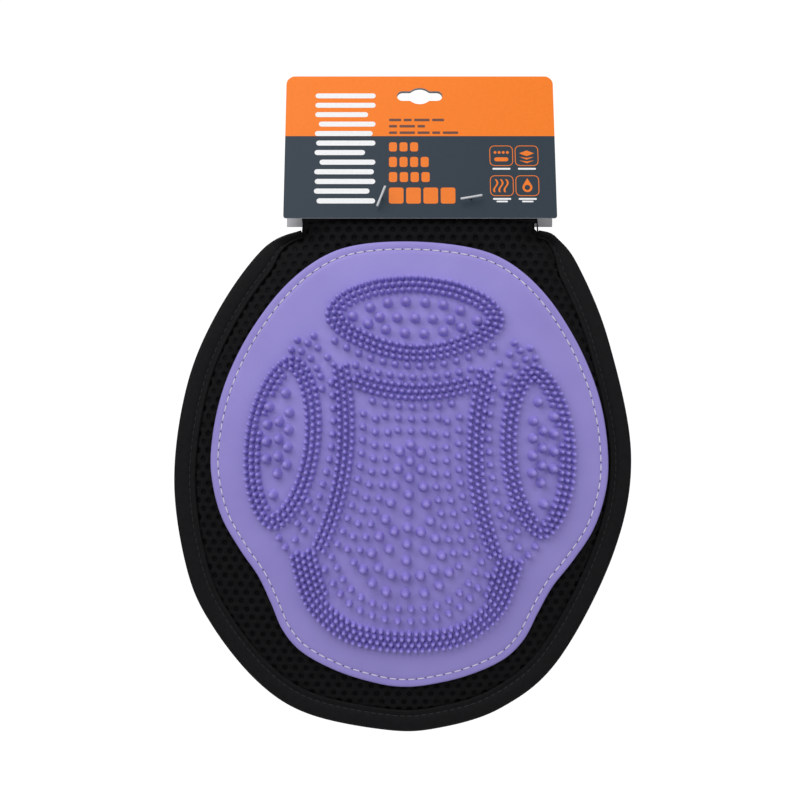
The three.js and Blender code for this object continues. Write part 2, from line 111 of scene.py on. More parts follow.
# %% World
world = bpy.data.worlds.new("studio")
bpy.context.scene.world = world
world.use_nodes = True
nodes, links = world.node_tree.nodes, world.node_tree.links
nodes.clear()
seen = nodes.new("ShaderNodeLightPath")
seen.label = "Is this the backdrop?"
ambient = nodes.new("ShaderNodeBackground")
ambient.label = "Light in the shadows"
ambient.inputs["Color"].default_value = (0.94, 0.96, 1, 1)
ambient.inputs["Strength"].default_value = 0.2
paper = nodes.new("ShaderNodeBackground")
paper.label = "White backdrop"
paper.inputs["Color"].default_value = (1, 1, 1, 1)
paper.inputs["Strength"].default_value = 1.05
either = nodes.new("ShaderNodeMixShader")
either.label = "Backdrop or light"
world_out = nodes.new("ShaderNodeOutputWorld")
world_out.label = "World"
for step, node in enumerate((seen, ambient, paper, either, world_out)):
    node.location = (220 * step, -160 * (step % 2))
links.new(seen.outputs["Is Camera Ray"], either.inputs["Fac"])
links.new(ambient.outputs[0], either.inputs[1])
links.new(paper.outputs[0], either.inputs[2])
links.new(either.outputs[0], world_out.inputs["Surface"])

# %% Floor
FLOOR_DROP = 0.62
FLOOR_RADIUS = 1.2
floor_mesh = bpy.data.meshes.new("floor")
rim = [2 * math.pi * step / 96 for step in range(96)]
floor_mesh.from_pydata(
    [(FLOOR_RADIUS * math.cos(a), FLOOR_RADIUS * math.sin(a), cad_box[0][2] - FLOOR_DROP) for a in rim],
    [],
    [tuple(range(96))],
)
floor = bpy.data.objects.new("floor", floor_mesh)
bpy.context.scene.collection.objects.link(floor)
plaster = bpy.data.materials.new("floor_plaster")
plaster.use_nodes = True
nodes, links = plaster.node_tree.nodes, plaster.node_tree.links
nodes.clear()
matt = nodes.new("ShaderNodeBsdfPrincipled")
matt.label = "Pale matt floor"
matt.inputs["Base Color"].default_value = (0.86, 0.86, 0.86, 1)
matt.inputs["Roughness"].default_value = 0.9
matt.inputs["Specular IOR Level"].default_value = 0.1
floor_out = nodes.new("ShaderNodeOutputMaterial")
floor_out.label = "Floor"
floor_out.location = (320, 0)
links.new(matt.outputs[0], floor_out.inputs["Surface"])
floor_mesh.materials.append(plaster)

# %% [markdown]
# ## Outlines
# Two smooth outlines drive the whole mitt: the free edge of the bag, and the edge of the rubber
# pad. Each could be a Bezier curve drawn in the viewport. Here a few points and a Catmull-Rom
# curve give the same line as the CAD, and as plain numbers it can be asked for distances too.

# %% Smooth lines through points
# All lengths below are millimetres, across (x) and up (z), until place() turns them into metres.
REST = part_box("back_mesh_panel")[1].y / MM  # the plane that the back of the mitt rests against


def place(x, depth, z):
    """Points in the frame, in metres, from millimetres across, forward of the rest plane and up."""
    return np.stack(np.broadcast_arrays(x, REST - depth, z), axis=-1) * MM


def smooth_line(points, steps, loop=False):
    """Evenly spaced points on a Catmull-Rom curve."""
    p = np.array(points, float)
    ends = (p[-1:], p[:2]) if loop else (p[:1], p[-1:])
    q = np.concatenate([ends[0], p, ends[1]])
    t = np.linspace(0, 1, 24, endpoint=False)[:, None]
    fine = []
    for a, b, c, d in zip(q, q[1:], q[2:], q[3:]):
        fine.append(b + t * (c - a) / 2 + t**2 * (a - 2.5 * b + 2 * c - d / 2)
                    + t**3 * (1.5 * (b - c) + (d - a) / 2))
    fine = np.concatenate(fine + [p[:1] if loop else p[-1:]])
    return even_steps(fine, steps, loop)


def even_steps(line, steps, loop=False):
    """The same line again, in equal steps."""
    along = np.concatenate([[0], np.cumsum(np.linalg.norm(np.diff(line, axis=0), axis=1))])
    at = np.linspace(0, along[-1], steps, endpoint=not loop)
    return np.stack([np.interp(at, along, line[:, k]) for k in range(line.shape[1])], axis=-1)


def inward(line, loop=False):
    """Unit vectors square to the line, on its left."""
    if loop:
        along = np.roll(line, -1, axis=0) - np.roll(line, 1, axis=0)
    else:
        along = np.gradient(line, axis=0)
    along /= np.linalg.norm(along, axis=1, keepdims=True)
    return np.stack([-along[:, 1], along[:, 0]], axis=-1)


# %% The free edge and the pad's edge
FREE_EDGE = [
    (-50.9, -59.6), (-66.9, -66.3), (-86.3, -92.6), (-100.1, -125), (-105.8, -166.5),
    (-100.1, -205.9), (-88.9, -230.1), (-69.5, -253.8), (-48.3, -267.2), (-16.3, -274),
    (6.2, -273.7), (34.7, -264.9), (59.8, -243.9), (83.5, -198.1), (91.1, -155.7),
    (81.4, -106.5), (68, -73.6), (58.5, -62), (51, -59.6),
]
PAD_HALF = [
    (0, 95), (24, 93), (40, 87), (55, 74.5), (68, 57), (77, 39.5), (82.4, 22), (84.8, 3),
    (83.5, -11), (79, -25), (70.8, -38), (62.6, -49), (56.8, -60.5), (51.4, -72), (42.8, -81),
    (28, -88.2), (12, -92.6), (0, -94),
]
PAD_CENTRE = np.array([-4.5, -160.3])
PAD_TURN = math.radians(-2)

free_edge = smooth_line(FREE_EDGE, 321)
free_edge_in = inward(free_edge)
free_edge_length = float(np.linalg.norm(np.diff(free_edge, axis=0), axis=1).sum())
pad_edge = smooth_line(PAD_HALF + [(-u, v) for u, v in PAD_HALF[-2:0:-1]], 320, loop=True)
pad_edge_in = -inward(pad_edge, loop=True)


def pad_to_front(uv):
    """From the pad's own axes to across and up."""
    turn = np.array([[math.cos(PAD_TURN), -math.sin(PAD_TURN)], [math.sin(PAD_TURN), math.cos(PAD_TURN)]])
    return np.asarray(uv, float) @ turn.T + PAD_CENTRE


print("free edge", round(free_edge_length), "mm long; pad", np.ptp(pad_edge, axis=0).round(1), "mm")

# %% [markdown]
# ## How the bag swells
# In the bound seam the two layers of mesh are pinched together. Inside it the back stays flat and
# the front rises to the pad's dome, and at the top both run on into the open neck. Sculpting
# could give this, but four depth fields keep every piece that lies on the fabric in step.

# %% Binding width along the edge
BINDING_WIDTH = 9.3
BINDING_START = 3.0  # width where the tape comes out of the neck
BINDING_TAPER = 26  # length over which it widens


def ease(start, end, x):
    """0 before start, 1 after end and smooth between."""
    t = np.clip((x - start) / (end - start), 0, 1)
    return t * t * (3 - 2 * t)


def binding_width(along):
    """The tape's width at a distance along the free edge."""
    from_end = np.minimum(along, free_edge_length - along)
    return BINDING_START + (BINDING_WIDTH - BINDING_START) * ease(0, BINDING_TAPER, from_end)


def edge_distance(x, z):
    """The distance to the free edge, and how far along it the nearest point is."""
    x, z = np.broadcast_arrays(np.asarray(x, float), np.asarray(z, float))
    p = np.stack([x.ravel(), z.ravel()], axis=-1)
    a, b = free_edge[:-1:2], free_edge[2::2]
    span = b - a
    step = free_edge_length / len(span)
    best, along = np.full(len(p), np.inf), np.zeros(len(p))
    for k in range(len(span)):
        t = np.clip(((p - a[k]) @ span[k]) / (span[k] @ span[k]), 0, 1)
        off = np.linalg.norm(p - a[k] - t[:, None] * span[k], axis=1)
        nearer = off < best
        best[nearer] = off[nearer]
        along[nearer] = (k + t[nearer]) * step
    return best.reshape(x.shape), along.reshape(x.shape)


# %% Depth fields
CROWN = (-4.5, -140)  # across and up of the dome's highest point
CROWN_DEPTH = 16.8
SEAM_FRONT, SEAM_REAR = 5.1, 1.7  # faces of the pinched seam
NECK_FOOT, NECK_ROOT = -54, -66  # the neck's shape fades into the mitt's between these heights
MESH, BACK_MESH, SEAM_MESH, NECK_MESH = 2.2, 2.6, 1.55, 1.0  # thicknesses of the mesh


def mix(a, b, t):
    return a + (b - a) * t


def dome(x, z):
    """Front of the mesh under the pad."""
    fall = mix(11.3, 2.8, ease(-120, -60, z)) * ((x - CROWN[0]) / 98) ** 2
    below = np.maximum(0, CROWN[1] - z) / 134
    above = np.maximum(0, z - CROWN[1]) / 80
    return CROWN_DEPTH - fall - 11.8 * below**2 - 3.8 * above**2


def neck_share(z):
    """1 in the neck and 0 in the mitt."""
    return ease(NECK_ROOT, NECK_FOOT, z)


def seam_share(distance, along):
    """1 in the bound seam and 0 inside it."""
    end = binding_width(along) + 0.3
    return 1 - ease(end, end + 3, distance)


def front_of(x, z):
    """Outer face of the front mesh."""
    distance, along = edge_distance(x, z)
    past = np.maximum(0, distance - binding_width(along) - 0.3)
    rise = SEAM_FRONT + 5 * (1 - np.exp(-past / 3.5)) + 0.25 * past
    top = dome(x, z)
    blend = np.maximum(0, 1.5 - np.abs(top - rise)) / 1.5
    mitt = np.maximum(SEAM_FRONT, np.minimum(top, rise) - blend**2 * 1.5 / 4)
    neck = 10.5 + 0.133 * (-40 - z)
    return mix(mitt, neck, neck_share(z))


def front_thickness(x, z):
    distance, along = edge_distance(x, z)
    return mix(mix(MESH, SEAM_MESH, seam_share(distance, along)), NECK_MESH, neck_share(z))


def rear_of(x, z):
    """Outer face of the back mesh."""
    distance, along = edge_distance(x, z)
    return mix(SEAM_REAR * seam_share(distance, along), 2.65, neck_share(z))


def rear_thickness(x, z):
    distance, along = edge_distance(x, z)
    return mix(mix(BACK_MESH, SEAM_MESH, seam_share(distance, along)), NECK_MESH, neck_share(z))


print("crown", front_of(*CROWN).round(2), "seam", front_of(-104, -166).round(2))

# %% [markdown]
# ## From grids of points to pieces
# Every sewn piece here is a sheet with two faces and a rim. Solidify could thicken one face, but
# the layers of this mitt change thickness, so the two faces are given apart and stitched together.


# %% Sheets from two grids
def new_piece(name, mesh, *finishes):
    """A mesh object at the origin, smooth, with its finishes."""
    piece = bpy.data.objects.new(name, mesh)
    bpy.context.scene.collection.objects.link(piece)
    for finish in finishes:
        mesh.materials.append(finish)
    mesh.polygons.foreach_set("use_smooth", [True] * len(mesh.polygons))
    return piece


def tidy_mesh(mesh, gap=1e-6):
    """Merges doubles, drops empty faces and turns a closed mesh's faces outward."""
    bm = bmesh.new()
    bm.from_mesh(mesh)
    bmesh.ops.remove_doubles(bm, verts=bm.verts, dist=gap)
    bmesh.ops.dissolve_degenerate(bm, edges=bm.edges, dist=gap)
    bmesh.ops.recalc_face_normals(bm, faces=bm.faces)
    bm.to_mesh(mesh)
    bm.free()
    return mesh


def sheet_mesh(name, front, rear, loop=False, uv=None):
    """A closed sheet between two grids of rows x columns x 3. loop joins the last column to the first."""
    rows, columns = front.shape[:2]
    spans = columns if loop else columns - 1
    r, c = np.meshgrid(np.arange(rows - 1), np.arange(spans), indexing="ij")
    corner = [(r + i) * columns + (c + j) % columns for i, j in ((0, 0), (0, 1), (1, 1), (1, 0))]
    skin = np.stack([k.ravel() for k in corner], axis=-1)
    under = rows * columns
    faces = [skin, skin[:, ::-1] + under]
    c = np.arange(spans)
    for edge in (c, (rows - 1) * columns + c):
        ahead = edge - c + (c + 1) % columns
        faces.append(np.stack([edge, ahead, ahead + under, edge + under], axis=-1))
    if not loop:
        r = np.arange(rows - 1) * columns
        for edge in (r, r + columns - 1):
            faces.append(np.stack([edge, edge + columns, edge + columns + under, edge + under], axis=-1))
    mesh = bpy.data.meshes.new(name)
    points = np.concatenate([front.reshape(-1, 3), rear.reshape(-1, 3)])
    mesh.from_pydata(points.tolist(), [], np.concatenate(faces).tolist())
    if uv is not None:
        layer = mesh.uv_layers.new(name="cloth")
        corners = np.zeros(len(mesh.loops), int)
        mesh.loops.foreach_get("vertex_index", corners)
        flat = np.tile(uv.reshape(-1, 2), (2, 1))[corners]
        layer.data.foreach_set("uv", flat.ravel())
    return tidy_mesh(mesh)


def count(piece):
    """Prints what a piece came to."""
    piece.data.calc_loop_triangles()
    print(piece.name, len(piece.data.loop_triangles), "triangles")
    return piece

# %% [markdown]
# ## Finishes
# Each finish is a small node graph. Object coordinates stay fixed to a piece when it moves, so they
# carry everything that is the same in all directions. Cloth with a direction reads the piece's UV
# map, which is in millimetres along and across the tape.


# %% Knitted and woven polyester
def cloth_finish(name, colour, mottle_and_highlight, scale, bump, uses_uv=False, roughness=0.75):
    """Black cloth: yarns as fine crossed waves, mottled a little, with a painted highlight on the yarn tops
    and a faint sheen.
    """
    finish = bpy.data.materials.new(name)
    finish.use_nodes = True
    nodes, links = finish.node_tree.nodes, finish.node_tree.links
    nodes.clear()
    colour_frame = nodes.new("NodeFrame")
    colour_frame.label = "Colour of the yarn"
    yarn_frame = nodes.new("NodeFrame")
    yarn_frame.label = "Relief of the yarn"
    where = nodes.new("ShaderNodeTexCoord")
    where.label = "Place on the cloth"
    size = nodes.new("ShaderNodeMapping")
    size.label = "Yarns to the millimetre"
    size.inputs["Scale"].default_value = (scale, scale, scale)
    size.inputs["Rotation"].default_value = (0, 0, math.radians(40))
    warp = nodes.new("ShaderNodeTexWave")
    warp.label = "Yarns one way"
    warp.inputs["Scale"].default_value = 1
    warp.inputs["Distortion"].default_value = 1.2
    warp.inputs["Detail"].default_value = 1
    weft = nodes.new("ShaderNodeTexWave")
    weft.label = "Yarns the other way"
    weft.bands_direction = "Y" if uses_uv else "Z"
    weft.inputs["Scale"].default_value = 0.8
    weft.inputs["Distortion"].default_value = 1.2
    weft.inputs["Detail"].default_value = 1
    over = nodes.new("ShaderNodeMath")
    over.label = "Over and under"
    over.operation = "MAXIMUM"
    relief = nodes.new("ShaderNodeBump")
    relief.label = "Yarns stand up"
    relief.inputs["Strength"].default_value = bump
    relief.inputs["Distance"].default_value = 0.0002
    mottle = nodes.new("ShaderNodeTexNoise")
    mottle.label = "Uneven dye and lint"
    mottle.inputs["Scale"].default_value = 420
    mottle.inputs["Detail"].default_value = 3
    tint = nodes.new("ShaderNodeValToRGB")
    tint.label = "Dark to worn black"
    tint.color_ramp.elements[0].position = 0.35
    tint.color_ramp.elements[0].color = (*colour, 1)
    tint.color_ramp.elements[1].position = 0.75
    tint.color_ramp.elements[1].color = (*mottle_and_highlight, 1)
    # Painted highlight: where the yarn relief is high, the colour is mixed toward the lighter colour.
    crest = nodes.new("ShaderNodeMix")
    crest.label = "Painted highlight on yarn tops"
    crest.data_type = "RGBA"
    crest.inputs[7].default_value = (*mottle_and_highlight, 1)
    half = nodes.new("ShaderNodeMath")
    half.label = "How much of the yarn tops"
    half.operation = "MULTIPLY"
    half.inputs[1].default_value = 0.6
    fibre = nodes.new("ShaderNodeBsdfPrincipled")
    fibre.label = "Polyester"
    fibre.inputs["Roughness"].default_value = roughness
    fibre.inputs["Specular IOR Level"].default_value = 0.12
    fibre.inputs["Sheen Weight"].default_value = 0.025
    fibre.inputs["Sheen Roughness"].default_value = 0.4
    out = nodes.new("ShaderNodeOutputMaterial")
    out.label = "Cloth"
    for node in (warp, weft, over, relief):
        node.parent = yarn_frame
    for node in (mottle, tint, crest, half):
        node.parent = colour_frame
    order = (where, size, warp, weft, over, half, mottle, tint, crest, relief, fibre, out)
    for step, node in enumerate(order):
        node.location = (190 * step, -180 * (step % 3))
    links.new(where.outputs["UV" if uses_uv else "Object"], size.inputs["Vector"])
    links.new(size.outputs["Vector"], warp.inputs["Vector"])
    links.new(size.outputs["Vector"], weft.inputs["Vector"])
    links.new(warp.outputs["Fac"], over.inputs[0])
    links.new(weft.outputs["Fac"], over.inputs[1])
    links.new(over.outputs[0], relief.inputs["Height"])
    links.new(over.outputs[0], half.inputs[0])
    links.new(where.outputs["Object"], mottle.inputs["Vector"])
    links.new(mottle.outputs["Fac"], tint.inputs["Fac"])
    links.new(tint.outputs["Color"], crest.inputs[6])
    links.new(half.outputs[0], crest.inputs["Factor"])
    links.new(crest.outputs[2], fibre.inputs["Base Color"])
    links.new(relief.outputs["Normal"], fibre.inputs["Normal"])
    links.new(fibre.outputs[0], out.inputs["Surface"])
    return finish


# The second colour of each cloth is the lighter tone of its mottle and also its painted highlight on the yarn
# tops.
air_mesh_cloth = cloth_finish("air_mesh_cloth", (0.002, 0.002, 0.0025), (0.0065, 0.0065, 0.0075), 1900, 0.5)
inner_knit = cloth_finish("inner_knit", (0.0015, 0.0015, 0.002), (0.004, 0.004, 0.005), 2400, 0.4)
tape_cloth = cloth_finish("tape_cloth", (0.003, 0.003, 0.0034), (0.0076, 0.0076, 0.0087), 2.0, 0.3, True, 0.6)
lining_cloth = cloth_finish("lining_cloth", (0.012, 0.012, 0.014), (0.03, 0.03, 0.034), 2600, 0.3)
print("cloth finishes made")

# %% [markdown]
# ## Thread, rubber, card, ink and nylon
# The rubber is the finish that is looked at most. It is soft and a little cloudy, so light goes in
# and comes out tinted: subsurface scattering gives that. Its bump is only a faint moulded grain.


# %% Sewing thread
def thread_finish(name, colour, shade):
    """Spun thread: two plies twisted together, as slanted bands."""
    finish = bpy.data.materials.new(name)
    finish.use_nodes = True
    nodes, links = finish.node_tree.nodes, finish.node_tree.links
    nodes.clear()
    ply_frame = nodes.new("NodeFrame")
    ply_frame.label = "Twisted plies"
    where = nodes.new("ShaderNodeTexCoord")
    where.label = "Place on the thread"
    plies = nodes.new("ShaderNodeTexWave")
    plies.label = "Plies"
    plies.bands_direction = "DIAGONAL"
    plies.inputs["Scale"].default_value = 900
    plies.inputs["Distortion"].default_value = 0.6
    tint = nodes.new("ShaderNodeValToRGB")
    tint.label = "Shaded between plies"
    tint.color_ramp.elements[0].color = (*shade, 1)
    tint.color_ramp.elements[1].color = (*colour, 1)
    tint.color_ramp.elements[1].position = 0.5
    relief = nodes.new("ShaderNodeBump")
    relief.label = "Round plies"
    relief.inputs["Strength"].default_value = 0.4
    relief.inputs["Distance"].default_value = 0.0001
    spun = nodes.new("ShaderNodeBsdfPrincipled")
    spun.label = "Spun polyester"
    spun.inputs["Roughness"].default_value = 0.55
    spun.inputs["Specular IOR Level"].default_value = 0.3
    out = nodes.new("ShaderNodeOutputMaterial")
    out.label = "Thread"
    for node in (plies, tint, relief):
        node.parent = ply_frame
    for step, node in enumerate((where, plies, tint, relief, spun, out)):
        node.location = (200 * step, -160 * (step % 2))
    links.new(where.outputs["Object"], plies.inputs["Vector"])
    links.new(plies.outputs["Fac"], tint.inputs["Fac"])
    links.new(plies.outputs["Fac"], relief.inputs["Height"])
    links.new(tint.outputs["Color"], spun.inputs["Base Color"])
    links.new(relief.outputs["Normal"], spun.inputs["Normal"])
    links.new(spun.outputs[0], out.inputs["Surface"])
    return finish


pale_thread = thread_finish("pale_thread", (0.88, 0.84, 0.9), (0.5, 0.44, 0.62))
dark_thread = thread_finish("dark_thread", (0.02, 0.02, 0.022), (0.006, 0.006, 0.007))


# %% Moulded rubber
def rubber_finish(name, colour, deep, grain_scale, roughness):
    """Soft moulded rubber: cloudy colour, light scattered inside, a faint satin grain."""
    finish = bpy.data.materials.new(name)
    finish.use_nodes = True
    nodes, links = finish.node_tree.nodes, finish.node_tree.links
    nodes.clear()
    colour_frame = nodes.new("NodeFrame")
    colour_frame.label = "Cloudy colour"
    satin_frame = nodes.new("NodeFrame")
    satin_frame.label = "Satin skin"
    where = nodes.new("ShaderNodeTexCoord")
    where.label = "Place on the pad"
    cloud = nodes.new("ShaderNodeTexNoise")
    cloud.label = "Uneven pigment"
    cloud.inputs["Scale"].default_value = 55
    cloud.inputs["Detail"].default_value = 4
    tint = nodes.new("ShaderNodeValToRGB")
    tint.label = "Lilac"
    tint.color_ramp.elements[0].position = 0.3
    tint.color_ramp.elements[0].color = (*deep, 1)
    tint.color_ramp.elements[1].position = 0.7
    tint.color_ramp.elements[1].color = (*colour, 1)
    grain = nodes.new("ShaderNodeTexNoise")
    grain.label = "Mould grain"
    grain.inputs["Scale"].default_value = grain_scale
    grain.inputs["Detail"].default_value = 2
    relief = nodes.new("ShaderNodeBump")
    relief.label = "Grain you can feel"
    relief.inputs["Strength"].default_value = 0.12
    relief.inputs["Distance"].default_value = 0.0001
    shine = nodes.new("ShaderNodeMapRange")
    shine.label = "Handled and unhandled skin"
    shine.inputs["To Min"].default_value = roughness - 0.05
    shine.inputs["To Max"].default_value = roughness + 0.08
    skin = nodes.new("ShaderNodeBsdfPrincipled")
    skin.label = "Rubber"
    skin.inputs["Subsurface Weight"].default_value = 0.15
    skin.inputs["Subsurface Radius"].default_value = (1.0, 0.7, 1.4)
    skin.inputs["Subsurface Scale"].default_value = 0.0008
    skin.inputs["Specular IOR Level"].default_value = 0.35
    out = nodes.new("ShaderNodeOutputMaterial")
    out.label = "Pad"
    for node in (cloud, tint):
        node.parent = colour_frame
    for node in (grain, relief, shine):
        node.parent = satin_frame
    for step, node in enumerate((where, cloud, tint, grain, relief, shine, skin, out)):
        node.location = (200 * step, -170 * (step % 3))
    links.new(where.outputs["Object"], cloud.inputs["Vector"])
    links.new(where.outputs["Object"], grain.inputs["Vector"])
    links.new(cloud.outputs["Fac"], tint.inputs["Fac"])
    links.new(cloud.outputs["Fac"], shine.inputs["Value"])
    links.new(grain.outputs["Fac"], relief.inputs["Height"])
    links.new(tint.outputs["Color"], skin.inputs["Base Color"])
    links.new(shine.outputs["Result"], skin.inputs["Roughness"])
    links.new(relief.outputs["Normal"], skin.inputs["Normal"])
    links.new(skin.outputs[0], out.inputs["Surface"])
    return finish


pad_rubber = rubber_finish("pad_rubber", (0.335, 0.285, 0.69), (0.31, 0.262, 0.655), 2200, 0.5)
nub_rubber = rubber_finish("nub_rubber", (0.32, 0.265, 0.71), (0.29, 0.235, 0.66), 2200, 0.42)


# %% Printed board and bare board
def board_finish(name, upper, lower, edge_height, coat, roughness):
    """Coated card: two printed areas with a crisp edge between them, paper fibre under the varnish."""
    finish = bpy.data.materials.new(name)
    finish.use_nodes = True
    nodes, links = finish.node_tree.nodes, finish.node_tree.links
    nodes.clear()
    print_frame = nodes.new("NodeFrame")
    print_frame.label = "Printed areas"
    paper_frame = nodes.new("NodeFrame")
    paper_frame.label = "Paper fibre"
    where = nodes.new("ShaderNodeTexCoord")
    where.label = "Place on the card"
    split = nodes.new("ShaderNodeSeparateXYZ")
    split.label = "Distance from the fold"
    edge = nodes.new("ShaderNodeMath")
    edge.label = "Below the colour change"
    edge.operation = "LESS_THAN"
    edge.inputs[1].default_value = edge_height
    areas = nodes.new("ShaderNodeMix")
    areas.label = "Upper or lower ink"
    areas.data_type = "RGBA"
    areas.inputs[6].default_value = (*lower, 1)
    areas.inputs[7].default_value = (*upper, 1)
    fibre = nodes.new("ShaderNodeTexNoise")
    fibre.label = "Fibre"
    fibre.inputs["Scale"].default_value = 900
    fibre.inputs["Detail"].default_value = 3
    specks = nodes.new("ShaderNodeMapRange")
    specks.label = "Ink takes unevenly"
    specks.inputs["To Min"].default_value = 0.94
    specks.inputs["To Max"].default_value = 1.06
    ink = nodes.new("ShaderNodeMix")
    ink.label = "Ink over fibre"
    ink.data_type = "RGBA"
    ink.blend_type = "MULTIPLY"
    ink.inputs["Factor"].default_value = 1
    relief = nodes.new("ShaderNodeBump")
    relief.label = "Slight orange peel"
    relief.inputs["Strength"].default_value = 0.06
    relief.inputs["Distance"].default_value = 0.0001
    varnish = nodes.new("ShaderNodeBsdfPrincipled")
    varnish.label = "Varnished card"
    varnish.inputs["Roughness"].default_value = roughness
    varnish.inputs["Specular IOR Level"].default_value = 0.15
    varnish.inputs["Coat Weight"].default_value = coat
    varnish.inputs["Coat Roughness"].default_value = 0.25
    out = nodes.new("ShaderNodeOutputMaterial")
    out.label = "Card"
    for node in (split, edge, areas):
        node.parent = print_frame
    for node in (fibre, specks, ink, relief):
        node.parent = paper_frame
    order = (where, split, edge, areas, fibre, specks, ink, relief, varnish, out)
    for step, node in enumerate(order):
        node.location = (190 * step, -170 * (step % 3))
    links.new(where.outputs["UV"], split.inputs[0])
    links.new(split.outputs["Y"], edge.inputs[0])
    links.new(edge.outputs[0], areas.inputs["Factor"])
    links.new(where.outputs["Object"], fibre.inputs["Vector"])
    links.new(fibre.outputs["Fac"], specks.inputs["Value"])
    links.new(areas.outputs[2], ink.inputs[6])
    links.new(specks.outputs["Result"], ink.inputs[7])
    links.new(fibre.outputs["Fac"], relief.inputs["Height"])
    links.new(ink.outputs[2], varnish.inputs["Base Color"])
    links.new(relief.outputs["Normal"], varnish.inputs["Normal"])
    links.new(varnish.outputs[0], out.inputs["Surface"])
    return finish


ORANGE = (0.94, 0.217, 0.021)
SLATE = (0.032, 0.047, 0.064)
# Painted shade: the white board of the inner face and the cut edges is coloured light grey, as it looks in the
# shade of the folded card.
BARE_BOARD_SHADE_GREY = (0.62, 0.62, 0.645)
COLOUR_CHANGE = 28.1  # millimetres below the fold, and the UV map is in the same unit
printed_board = board_finish("printed_board", ORANGE, SLATE, COLOUR_CHANGE, 0.04, 0.5)
bare_board_painted_shade = board_finish("bare_board_painted_shade", BARE_BOARD_SHADE_GREY, BARE_BOARD_SHADE_GREY, 0, 0.0, 0.8)


# %% Ink, nylon, foam and painted needle-hole shade
def plain_finish(name, colour, roughness, specular, grain_scale, grain, see_through=0.0):
    """A single material with a fine grain: ink film, moulded nylon, foam and the painted shade in needle
    holes.
    """
    finish = bpy.data.materials.new(name)
    finish.use_nodes = True
    nodes, links = finish.node_tree.nodes, finish.node_tree.links
    nodes.clear()
    grain_frame = nodes.new("NodeFrame")
    grain_frame.label = "Grain"
    where = nodes.new("ShaderNodeTexCoord")
    where.label = "Place on the piece"
    speck = nodes.new("ShaderNodeTexNoise")
    speck.label = "Fine specks"
    speck.inputs["Scale"].default_value = grain_scale
    speck.inputs["Detail"].default_value = 3
    tint = nodes.new("ShaderNodeValToRGB")
    tint.label = "A shade darker in the specks"
    tint.color_ramp.elements[0].color = (*[0.88 * c for c in colour], 1)
    tint.color_ramp.elements[1].color = (*colour, 1)
    relief = nodes.new("ShaderNodeBump")
    relief.label = "Rough to the touch"
    relief.inputs["Strength"].default_value = grain
    relief.inputs["Distance"].default_value = 0.0001
    body = nodes.new("ShaderNodeBsdfPrincipled")
    body.label = "Body"
    body.inputs["Roughness"].default_value = roughness
    body.inputs["Specular IOR Level"].default_value = specular
    body.inputs["Transmission Weight"].default_value = see_through
    out = nodes.new("ShaderNodeOutputMaterial")
    out.label = "Finish"
    for node in (speck, tint, relief):
        node.parent = grain_frame
    for step, node in enumerate((where, speck, tint, relief, body, out)):
        node.location = (200 * step, -160 * (step % 2))
    links.new(where.outputs["Object"], speck.inputs["Vector"])
    links.new(speck.outputs["Fac"], tint.inputs["Fac"])
    links.new(speck.outputs["Fac"], relief.inputs["Height"])
    links.new(tint.outputs["Color"], body.inputs["Base Color"])
    links.new(relief.outputs["Normal"], body.inputs["Normal"])
    links.new(body.outputs[0], out.inputs["Surface"])
    return finish


white_ink = plain_finish("white_ink", (0.95, 0.95, 0.96), 0.45, 0.25, 900, 0.05)
orange_ink = plain_finish("orange_ink", ORANGE, 0.45, 0.25, 900, 0.05)
dark_ink = plain_finish("dark_ink", (0.16, 0.07, 0.05), 0.45, 0.25, 900, 0.05)
nylon = plain_finish("nylon", (0.74, 0.76, 0.79), 0.28, 0.5, 600, 0.1, 0.15)
foam = plain_finish("foam_cells", (0.035, 0.035, 0.038), 0.95, 0.1, 1500, 0.8)
# Painted shade: the dark violet that a needle hole in the lilac rubber shows in its shadow.
needle_hole_shade = plain_finish("needle_hole_shade", (0.05, 0.035, 0.11), 0.8, 0.1, 900, 0.1)
print(len(bpy.data.materials), "finishes")

# %% [markdown]
# ## Growing pieces with node trees
# Nubs, mesh holes and stitches repeat hundreds of times, so Geometry Nodes place them. Copying
# objects in a loop would work too, but a tree keeps the sizes as named inputs that can be changed
# later. The result is made a plain mesh, because an export keeps no modifiers.


# %% Run a tree and keep its mesh
def grow(name, tree, start, sizes, *finishes):
    """Gives the start mesh to a node tree and returns what it makes as a plain piece."""
    piece = bpy.data.objects.new(name, start)
    bpy.context.scene.collection.objects.link(piece)
    step = piece.modifiers.new("grow", "NODES")
    step.node_group = tree
    for socket in tree.interface.items_tree:
        if socket.name in sizes:
            step[socket.identifier] = sizes[socket.name]
    ready = piece.evaluated_get(bpy.context.evaluated_depsgraph_get())
    plain = bpy.data.meshes.new_from_object(ready)
    plain.name = name
    piece.modifiers.remove(step)
    piece.data = plain
    if finishes:
        plain.materials.clear()
        for finish in finishes:
            plain.materials.append(finish)
    plain.polygons.foreach_set("use_smooth", [True] * len(plain.polygons))
    return count(piece)


def point_mesh(name, points, **attributes):
    """Loose points with vectors or numbers on them."""
    mesh = bpy.data.meshes.new(name)
    mesh.from_pydata(np.asarray(points).tolist(), [], [])
    for label, values in attributes.items():
        values = np.asarray(values)
        kind, field = ("FLOAT_VECTOR", "vector") if values.ndim == 2 else ("INT", "value")
        stored = mesh.attributes.new(label, kind, "POINT")
        stored.data.foreach_set(field, values.ravel())
    return mesh


# %% [markdown]
# ## The rubber pad
# The pad is one moulding about 1.6 mm thick, bent over the dome, with a thin flange that is sewn
# down. A subdivided plane with a boolean edge could give it, but a grid that runs round the
# outline and in to the middle keeps its edge round and smooth.

# %% Pad skin
PAD_THICKNESS = 1.6
PAD_LIFT = 0.35  # the rubber lies on the mesh
STITCH_INSET = 3.4


def pad_front(x, z):
    return dome(x, z) + PAD_LIFT + PAD_THICKNESS


